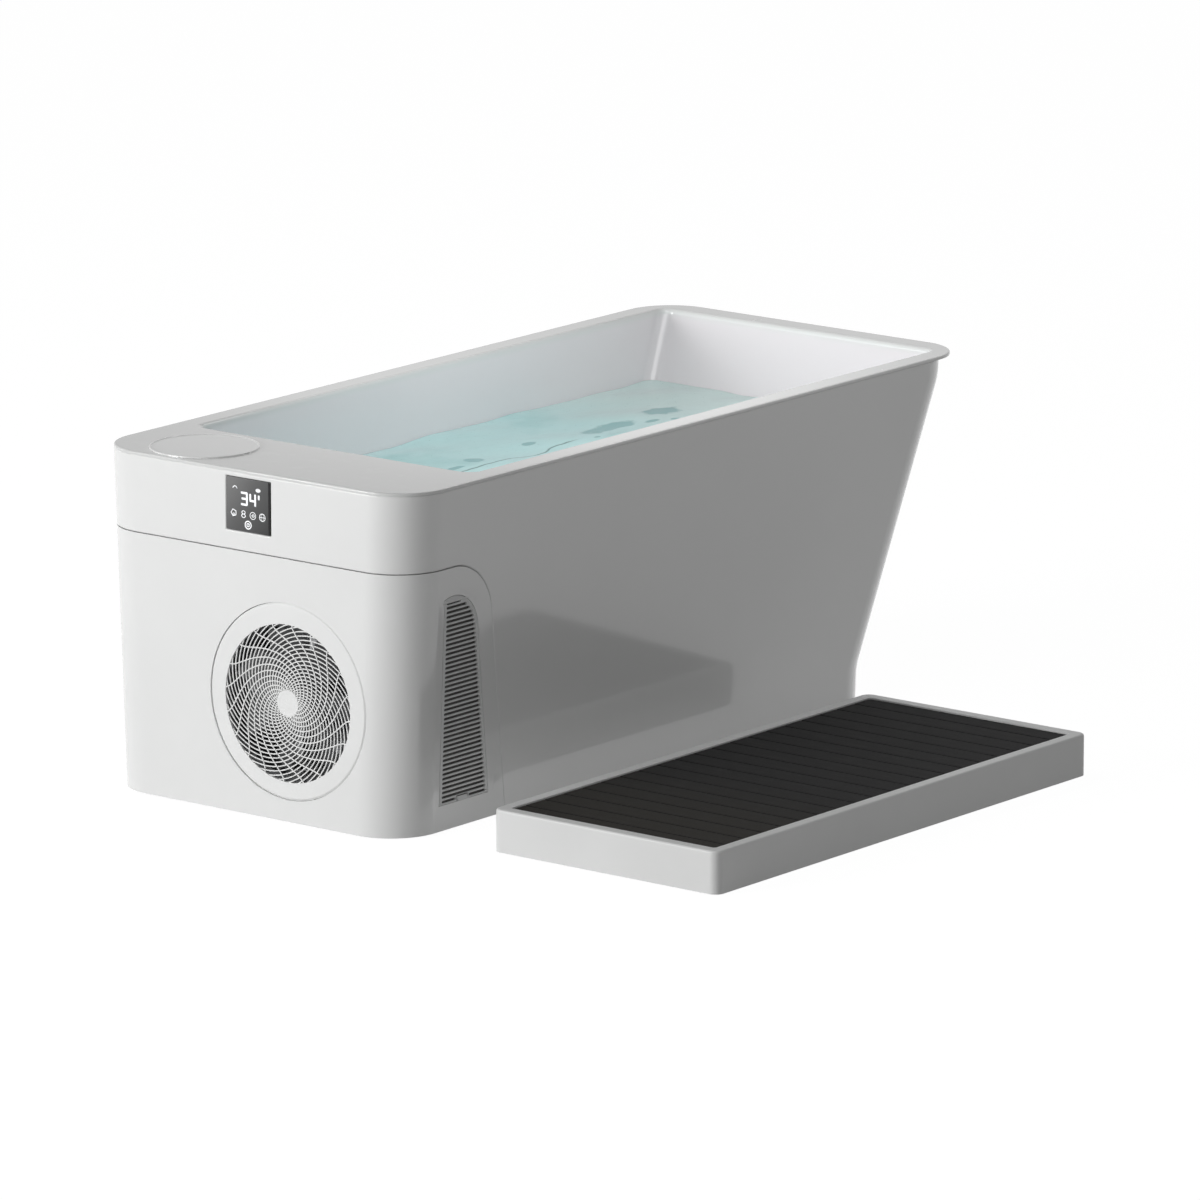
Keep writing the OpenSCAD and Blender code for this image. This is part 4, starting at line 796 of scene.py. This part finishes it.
def makeSkirt():
    s, v = skirt, vent
    whole = shellForm("outerShell")
    panel = copyOf(whole, "equipmentCover")
    combine(whole, coverRegion("seamCut", 0))
    combine(panel, coverRegion("seamCut", s["gap"]), "INTERSECT")
    (front, behind), (outside, inside) = s["headCut"], s["sideCut"]
    w, h = s["displayHole"]
    notch = addBlock("notch", (outside, *s["notchLow"]), (inside, *s["notchHigh"]))
    cuts = [addBlock("window", (-w, front, s["displayAt"] - h), (w, behind, s["displayAt"] + h)),
            addRod("inletHole", s["inletHole"], (outside, *s["inletAt"]), (inside, *s["inletAt"]), 48), notch]
    edit(notch)
    bevel(s["notchCorner"], 6, lambda e: along(0)(e) and middleOf(e).z > 0)
    done()
    combine(whole, join(cuts))
    pocket = makePocket()
    combine(panel, mirrored(pocket, "leftPocket"))
    combine(panel, pocket)
    opening = ontoSide(ventForm("ventOpening", -v["gap"], -v["cut"], v["cut"]))
    x, z = s["fanAt"]
    combine(panel, join([addRod("fanHole", s["fanHole"], (x, front, z), (x, behind, z), 128), opening,
                         mirrored(opening, "leftOpening")]))
    flange = makeFlange()
    softenEdges(whole, s["edge"], 4)
    softenEdges(panel, s["coverEdge"], 3)
    join([panel, flange])
    return shade(whole, 32), shade(panel, 32)


outerShell, equipmentCover = makeSkirt()
keep(outerShell, "root", "shell_white", "outer_skirt")
keep(equipmentCover, "root", "shell_white", "equipment_cover")
print("skirt and cover ready")


# One cutter for each slot; the lowest row makes room for the latch
def slotCuts():
    v = vent
    half, blank = v["slot"] / 2, v["slotBlank"]
    slot = addBlock("slot", (-v["cut"], 0, -half), (v["cut"], blank, half))
    edit(slot)
    bevel(v["slot"] * 0.499, 4, along(0))
    pickAll()
    turnAboutY(math.radians(-v["slotTilt"]))
    done()
    cuts = []
    for row in range(-1, v["slots"]):
        z = v["low"] + v["footBar"] + (row + 0.5) * v["pitch"]
        low, high = v["near"] + v["frame"], ventRear(z) - v["frame"]
        over = z + v["slot"] / 4 - (v["high"] - v["radius"])
        if over > 0:
            reach = math.sqrt(max(0, (v["radius"] - v["frame"]) ** 2 - over ** 2))
            low, high = max(low, archAt() - reach), min(high, archAt() + reach)
        if high - low < v["slotLeast"]:
            continue
        clear = v["latchHalf"][0] + v["latchClear"]
        spans = [(low, high)] if row >= 0 else [(low, v["latchAt"][0] - clear), (v["latchAt"][0] + clear, high)]
        for low, high in spans:
            cut = copyOf(slot, "slotCut", Matrix.Translation((-v["depth"] / 2, low, z)))
            edit(cut)
            move(lambda p: p.co.y > low + blank / 2, (0, high - low - blank, 0))
            done()
            cuts.append(cut)
    bpy.data.objects.remove(slot)
    return join(cuts)


def makeVent():
    v = vent
    panel = ventForm("ventPanel", 0, -v["depth"], -v["sunk"])
    combine(panel, slotCuts())
    y, z = v["latchAt"]
    w, h = (half + v["latchGap"] for half in v["latchHalf"])
    combine(panel, addBlock("latchSlot", (-v["cut"], y - w, z - h), (v["cut"], y + w, z + h)))
    softenEdges(panel, v["edge"])
    top, radius, reach = v["hinge"]
    end = archAt() + math.sqrt(v["radius"] ** 2 - (v["radius"] - (v["high"] - top)) ** 2)
    middle = -v["depth"] / 2
    pin = addRod("pin", radius, (middle, v["near"] - reach, top), (middle, end + reach, top), 24)
    panel = shade(join([panel, pin]))
    w, h = v["latchHalf"]
    latch = addBlock("latchRight", (v["latchRear"], y - w, z - h), (-v["sunk"] / 4, y + w, z + h))
    edit(latch)
    front = lambda p: p.co.x > v["latchRear"] + clearGap
    move(lambda p: front(p) and p.co.z > z, (v["latchTop"], 0, 0))
    move(lambda p: front(p) and p.co.z < z, (v["latchFoot"], 0, 0))
    tidy()
    done()
    softenEdges(latch, v["latchEdge"], 2, 45)
    mesh = ventForm("dustMeshRight", v["meshInset"], *v["mesh"])
    return [ontoSide(piece) for piece in (panel, shade(latch), shade(mesh))]


ventRight, latchRight, meshRight = makeVent()
ventRight.name = "ventRight"
for piece, name, finish, body, node in (
        (ventRight, "vent", "vent_grey", "vent_door_", "vent_"),
        (latchRight, "latch", "vent_grey", "latch_", "vent_latch_"),
        (meshRight, "dustMesh", "dust_mesh", "vent_door_", "dust_filter_")):
    left = mirrored(piece, name + "Left")
    keep(piece, body + "right", finish, node + "right")
    keep(left, body + "left", finish, node + "left")
print("vents ready")

# Fan grille: two families of curved ribs between a hub and a round panel
grille = {
    "panelAt": (0.090, -0.850, 0.2283), "panel": 0.1831, "panelSlope": (0.0050, 0.0036),
    "at": (0.0895, -0.850, 0.2249), "open": 0.1470, "depth": 0.006, "edge": 0.0006,
    "hub": 0.0250, "hubFront": 0.0002, "hubInsets": (0.006, 0.002), "hubSunk": 0.0008,
    "front": {"count": 20, "end": 13.9, "sweep": 147.0, "power": 1.7, "width": 0.0023,
              "from": 0.0004, "to": 0.0018},
    "back": {"count": 40, "end": -2.5, "endRadius": 141, "perMillimetre": 1.04, "width": 0.0023,
             "from": 0.0016, "to": 0.0030},
    "steps": 26, "overlap": (0.93, 1.012), "stub": 1e-4, "ribEdge": 0.0005,
}


def ribAngle(family, r):
    g, f = grille, grille[family]
    if family == "front":
        share = min(1.0, max(0.0, (r - g["hub"]) / (g["open"] - g["hub"])))
        return math.radians(f["end"] - f["sweep"] * (1 - share) ** f["power"])
    return math.radians(f["end"] - f["perMillimetre"] * (r * 1000 - f["endRadius"]))


def makeRibs(family):
    g, f = grille, grille[family]
    first, last = (radius * share for radius, share in zip((g["hub"], g["open"]), g["overlap"]))
    radii = [first + (last - first) * i / g["steps"] for i in range(g["steps"] + 1)]
    points = [Vector((r * math.cos(ribAngle(family, r)), 0, r * math.sin(ribAngle(family, r)))) for r in radii]
    turns = [math.atan2(b.z - a.z, b.x - a.x) for a, b in zip(points, points[1:])]
    rib = addBlock("rib", (-g["stub"], f["from"], -f["width"] / 2), (0, f["to"], f["width"] / 2))
    edit(rib)
    pickAll()
    turnAboutY(turns[0])
    bpy.ops.transform.translate(value=points[0])
    ahead = turns[0]
    pick("FACE", lambda face: face.normal.dot(Vector((math.cos(ahead), 0, math.sin(ahead)))) > 0.99)
    for i in range(1, len(points)):
        extrude(points[i] - points[i - 1])
        new = (turns[i - 1] + turns[min(i, len(turns) - 1)]) / 2
        turnAboutY(new - ahead, points[i])
        ahead = new
    bevel(g["ribEdge"], 2, lambda e: abs(runOf(e).y) < 0.1 and e.calc_face_angle(0) > 1
          and lyingAt(1, f["from"], hair)(e))
    pickAll()
    bpy.ops.mesh.spin(steps=f["count"] - 1, dupli=True, angle=2 * math.pi * (1 - 1 / f["count"]),
                      center=(0, 0, 0), axis=(0, 1, 0))
    done()
    rib.data.transform(Matrix.Translation(g["at"]))
    return rib


def makeGrille():
    g = grille
    at, panelAt, back = Vector(g["at"]), Vector(g["panelAt"]), Vector((0, g["depth"], 0))
    ring = addRod("grillePanel", g["panel"], panelAt, panelAt + back, 144)
    wide, deep = g["panelSlope"]
    edit(ring)
    pick("FACE", facing(1, -1))
    insetFace(wide / 2)
    insetFace(wide / 2)
    for rim, fall in ((g["panel"], deep), (g["panel"] - wide / 2, deep * 0.3)):
        onRim = lambda v: v.co.y < panelAt.y + hair and abs((v.co - panelAt).length - rim) < sameSpot
        move(onRim, (0, fall, 0))
    done()
    combine(ring, addRod("opening", g["open"], at - back * 2, at + back * 2, 144))
    softenEdges(ring, g["edge"])
    hub = addRod("hub", g["hub"], at + Vector((0, g["hubFront"], 0)), at + back, 64)
    edit(hub)
    pick("FACE", facing(1, -1))
    insetFace(g["hubInsets"][0])
    insetFace(g["hubInsets"][1], (0, g["hubSunk"], 0))
    done()
    softenEdges(hub, g["edge"], 2, 40)
    return shade(join([ring, hub, makeRibs("front"), makeRibs("back")]), 40)


keep(makeGrille(), "root", "grille_white", "fan_grille")
print("grille ready")

# Filter cap on the deck
cap = {
    "at": (-0.1963, -0.7405), "radius": 0.1020, "deck": 0.645, "rise": 0.0026, "edge": 0.0012, "lip": 0.0024,
    "sunk": 0.0011, "crown": 0.0004, "crownInsets": (0.012, 0.016, 0.024, 0.026), "soft": 0.0004,
    "spigot": 0.082, "spigotLow": 0.631, "stem": 0.011, "stemLow": 0.605, "overlap": 0.001,
    "notch": (0.016, 0.005, 0.002), "groove": (0.0794, 0.6327, 0.6373), "grooveClear": (0.003, 0.01),
}


def makeCap():
    c = cap
    x, y = c["at"]
    top, over = c["deck"] + c["rise"], c["overlap"]
    rod = lambda name, radius, low, high, sides=96: addRod(name, radius, (x, y, low), (x, y, high), sides)
    lid = rod("filterLid", c["radius"], c["deck"], top, 128)
    edit(lid)
    bevel(c["edge"] * 0.98, 5, atHeight(top))
    pick("FACE", lambda f: facing(2, 1)(f) and len(f.verts) > 20)
    insetFace(c["lip"])
    insetFace(c["lip"] / 2, (0, 0, -c["sunk"]))
    for width in c["crownInsets"]:
        insetFace(width, (0, 0, c["crown"] / 4))
    done()
    long, deep, high = c["notch"]
    for side in (-1, 1):
        edge = x + side * c["radius"]
        combine(lid, addBlock("notch", (edge - deep, y - long / 2, c["deck"] - over),
                              (edge + deep, y + long / 2, c["deck"] + high)))
    spigot = rod("spigot", c["spigot"], c["spigotLow"], c["deck"] + over)
    inside, low, high = c["groove"]
    wider, longer = c["grooveClear"]
    groove = rod("groove", c["spigot"] + wider, low, high)
    combine(groove, rod("core", inside, low - longer, high + longer))
    combine(spigot, groove)
    combine(lid, spigot, "UNION")
    combine(lid, rod("stem", c["stem"], c["stemLow"], c["spigotLow"] + over, 48), "UNION")
    return shade(softenEdges(lid, c["soft"]))


keep(makeCap(), "filter_set", "shell_white", "filter_cap")
print("cap ready")

# Display glass with plain digits and signs. Bars: place, length, turn.
# Rings: place, sides, radius, line width, squash, turn; a line as wide as the radius fills the ring
display = {
    "at": (0, 0.5801), "half": (0.0523, 0.0493), "front": -0.8497, "back": -0.846, "corner": 0.003,
    "edge": 0.0006, "markDepth": 0.0002, "stroke": 0.0042, "fineStroke": 0.0011,
    "bars": ((-0.0096, 0.0225, 0.0155, 0), (-0.0092, 0.0118, 0.0132, 0), (-0.0096, 0.0011, 0.0155, 0),
             (-0.0030, 0.0118, 0.0227, 90), (0.0048, 0.0164, 0.0130, 90), (0.0105, 0.0100, 0.0144, 0),
             (0.0165, 0.0118, 0.0227, 90), (0.0250, 0.0180, 0.0088, 90)),
    "rings": ((0.0235, 0.0310, 24, 0.0026, 0.0026, 1.9, 0), (0.0235, 0.0310, 24, 0.0036, 0.0006, 1.6, 0),
              (-0.0345, -0.0170, 5, 0.0075, 0.0016, 1, 90), (-0.0345, -0.0198, 4, 0.0032, 0.0011, 1, 45),
              (-0.0114, -0.0138, 16, 0.0038, 0.0014, 1.25, 0), (-0.0114, -0.0200, 16, 0.0041, 0.0014, 1.25, 0),
              (0.0107, -0.0174, 24, 0.0072, 0.0012, 1, 0), (0.0115, -0.0174, 12, 0.0033, 0.0010, 1, 0),
              (0.0331, -0.0176, 24, 0.0074, 0.0012, 1, 0), (0.0331, -0.0176, 24, 0.0070, 0.0010, 0.45, 0),
              (-0.0006, -0.0360, 32, 0.0082, 0.0022, 1, 0), (-0.0006, -0.0360, 6, 0.0042, 0.0014, 1, 0)),
    "cross": ((0.0331, -0.0176, 0.0130, 0), (0.0107, -0.0174, 0.0070, 0), (-0.0006, -0.0360, 0.0070, 90)),
    "arc": (-0.0312, 0.0278, 0.0058, 0.0016), "arcCut": 0.0005,
}


def makeGlass():
    d = display
    (x, z), (w, h) = d["at"], d["half"]
    glass = addBlock("displayGlass", (x - w, d["front"], z - h), (x + w, d["back"], z + h))
    edit(glass)
    bevel(d["corner"], 6, along(1))
    bevel(d["edge"], 2, lyingAt(1, d["front"], hair))
    done()
    return shade(glass)


def ontoGlass(x, z):
    return Matrix.Translation((x, display["front"] + hair, display["at"][1] + z))


def addRing(name, x, z, sides, radius, width, squash=1, turn=0):
    deselect()
    bpy.ops.mesh.primitive_circle_add(vertices=sides, radius=radius, fill_type="NGON", location=(0, 0, 0))
    ring = named(name)
    edit(ring)
    pickAll()
    if width < radius:
        insetFace(width)
        bpy.ops.mesh.delete(type="FACE")
        pickAll()
    extrude((0, 0, display["markDepth"]))
    tidy()
    done()
    ring.data.transform(ontoGlass(x, z) @ Matrix.Rotation(math.radians(90), 4, "X")
                        @ Matrix.Diagonal((squash, 1, 1, 1)) @ Matrix.Rotation(math.radians(turn), 4, "Z"))
    return ring


def addBar(x, z, length, turn, thick):
    bar = addBlock("displayBar", (-length / 2, -display["markDepth"], -thick / 2), (length / 2, 0, thick / 2))
    edit(bar)
    bevel(thick * 0.3, 3, along(1))
    done()
    bar.data.transform(ontoGlass(x, z) @ Matrix.Rotation(math.radians(turn), 4, "Y"))
    return bar


def makeMarks():
    d = display
    marks = [addBar(*bar, d["stroke"]) for bar in d["bars"]]
    marks += [addBar(*bar, d["fineStroke"]) for bar in d["cross"]]
    marks += [addRing("displaySign", *ring) for ring in d["rings"]]
    x, z, radius, width = d["arc"]
    arc = addRing("displayArc", x, z, 32, radius, width)
    edit(arc)
    dropFaces(lambda f: f.calc_center_median().z < d["at"][1] + z + d["arcCut"])
    done()
    return join(marks + [arc])


keep(makeGlass(), "root", "display_glass", "display_glass")
keep(makeMarks(), "root", "displayMarks")
print("display ready")


# Step with its mat; their sizes stand above the materials
def roundedTray(name, low, high, corner, openSides, hollow):
    form = addBlock(name, low, high)
    edit(form)
    bevel(corner, 8, along(2))
    dropFaces(lambda f: any(facing(2, side)(f) for side in openSides))
    if hollow:
        flip()
    done()
    return form


def makeStep():
    s = step
    (x, y, z), (farX, farY, top) = s["low"], s["high"]
    rim, wall = s["rim"], s["wall"]
    tray = join([
        roundedTray("stepTray", s["low"], s["high"], s["corner"], (1, -1), False),
        roundedTray("recess", (x + rim, y + rim, s["matFloor"]), (farX - rim, farY - rim, top),
                    s["matCorner"], (1,), True),
        roundedTray("hollow", (x + wall, y + wall, z), (farX - wall, farY - wall, s["under"]),
                    s["corner"] - wall, (-1,), True)])
    edit(tray)
    for height in (top, z):
        bridgeAt(height)
    outside = lambda v: min(v.co.x - x, farX - v.co.x, v.co.y - y, farY - v.co.y) < s["corner"] / 2
    bevel(s["edge"], 4, lambda e: atHeight(top)(e) and all(outside(v) for v in e.verts))
    bevel(s["innerEdge"], 3, lambda e: atHeight(top)(e) and not any(outside(v) for v in e.verts))
    tidy()
    done()
    return shade(tray)


def makeMat():
    s = step
    mat = addBlock("stepMat", s["matLow"], s["matHigh"])
    edit(mat)
    bevel(s["matCorner"], 6, along(2))
    done()
    wide, deep = s["groove"]
    (left, right), low, high = s["grooveRun"], s["matHigh"][2] - deep, s["grooveTop"]
    middles = [s["firstGroove"] + i * s["groovePitch"] for i in range(s["grooves"])]
    combine(mat, join([addBlock("groove", (left, y - wide / 2, low), (right, y + wide / 2, high))
                       for y in middles]))
    return shade(softenEdges(mat, s["matEdge"]))


keep(makeStep(), "step", "step_white", "step_tray")
keep(makeMat(), "mat", "mat_charcoal", "step_mat")
print("step ready")

# Water, a closed body with a rippled top; each wave is height, turns along x and y, and start
water = {
    "level": 0.514, "shrink": -0.0012, "floor": 0.1215, "cells": (44, 96), "size": (0.7, 1.6, 1),
    "middle": 0.08, "above": 0.2,
    "waves": ((0.0016, 21, 8, 0.4), (0.0011, -14, 26, 1.7), (0.0008, 40, -19, 2.9), (0.0005, 63, 47, 0.8)),
}


def makeWater():
    w = water
    pool = basinForm("waterBody", w["shrink"], basin["wallTop"], w["floor"])
    deselect()
    bpy.ops.mesh.primitive_grid_add(x_subdivisions=w["cells"][0], y_subdivisions=w["cells"][1], size=1,
                                    location=(0, w["middle"], w["level"]))
    bpy.context.object.scale = w["size"]
    top = named("waterTop")
    for v in top.data.vertices:
        v.co.z += sum(high * math.sin(a * v.co.x + b * v.co.y + start) for high, a, b, start in w["waves"])
    edit(top)
    pickAll()
    extrude((0, 0, w["above"]))
    tidy()
    done()
    return shade(combine(pool, top), 60, False)


keep(makeWater(), "root", "waterSurface")
print("water ready")

# Floor, backdrop and light
studio = {
    "floorSize": 60, "floorTone": 0.55, "floorShare": 0.82, "floorGlow": 1.18, "ambient": 0.30,
    "dimTowards": (-0.55, 0.82, 0.0), "dimFade": (0.5, 0.92), "dimShare": 0.85,
    "lamps": {
        "keyLamp": {"at": (-2.8, -6.8, 1.65), "to": (0, -0.4, 0.3), "size": (3.4, 2.2), "power": 344},
        "fillLamp": {"at": (5.5, -4.0, 4.5), "to": (0, -0.4, 0.3), "size": (3.0, 3.0), "power": 12},
        "basinLamp": {"at": (0.22, 0.05, 1.25), "to": (-0.30, 0.15, 0.40), "size": (0.9, 0.5), "power": 3.5},
    },
}


# Glossy rays, and with the camera's and clear ones all that see the plain background
def seenRays(start):
    path = start.node("LightPath").socket.node
    camera, glossy, through = (Wire(start.tree, path.outputs[name]) for name in
                               ("Is Camera Ray", "Is Glossy Ray", "Is Transmission Ray"))
    return glossy, camera.maths("MAXIMUM", glossy).maths("MAXIMUM", through)


def makeFloor(values):
    deselect()
    bpy.ops.mesh.primitive_plane_add(size=values["floorSize"], location=(0, 0, 0))
    floor = named("studioFloor")
    finish, start, place = newFinish("studioFloor")
    pale = values["floorTone"]
    matt = start.node("BsdfDiffuse", {}, {"Color": place.noise(1.5, 2).mix((pale,) * 3, (pale * 1.02,) * 3)})
    glow = start.node("Emission", {}, {"Color": colour((1, 1, 1)), "Strength": values["floorGlow"]})
    bright = start.node("MixShader", {}, {0: values["floorShare"], 1: matt, 2: glow})
    start.node("OutputMaterial", {}, {
        "Surface": start.node("MixShader", {}, {0: seenRays(start)[1], 1: matt, 2: bright})})
    floor.data.materials.append(finish)


def addLamp(name, values):
    data = bpy.data.lights.new(name, "AREA")
    data.shape = "RECTANGLE"
    data.size, data.size_y = values["size"]
    data.energy = values["power"]
    lamp = bpy.data.objects.new(name, data)
    lamp.location = values["at"]
    towards = Vector(values["to"]) - Vector(values["at"])
    lamp.rotation_euler = towards.to_track_quat("-Z", "Y").to_euler()
    lamp.visible_camera = False
    bpy.context.scene.collection.objects.link(lamp)


def makeWorld(values):
    world = bpy.data.worlds.new("studio")
    bpy.context.scene.world = world
    world.use_nodes = True
    world.node_tree.nodes.clear()
    start = Wire(world.node_tree)
    glossy, seen = seenRays(start)
    way = start.node("TexCoord").node("VectorMath", {"operation": "DOT_PRODUCT"}, {
        1: Vector(values["dimTowards"]).normalized()}, 1)
    strength = seen * (1 - values["ambient"]) + values["ambient"]
    strength = strength * (1 - glossy * way.between(*values["dimFade"]) * values["dimShare"])
    start.node("OutputWorld", {}, {"Surface": start.node("Background", {}, {"Strength": strength})})


makeFloor(studio)
makeWorld(studio)
for name, values in studio["lamps"].items():
    addLamp(name, values)
bpy.context.scene.view_settings.view_transform = "Standard"
print("studio ready")
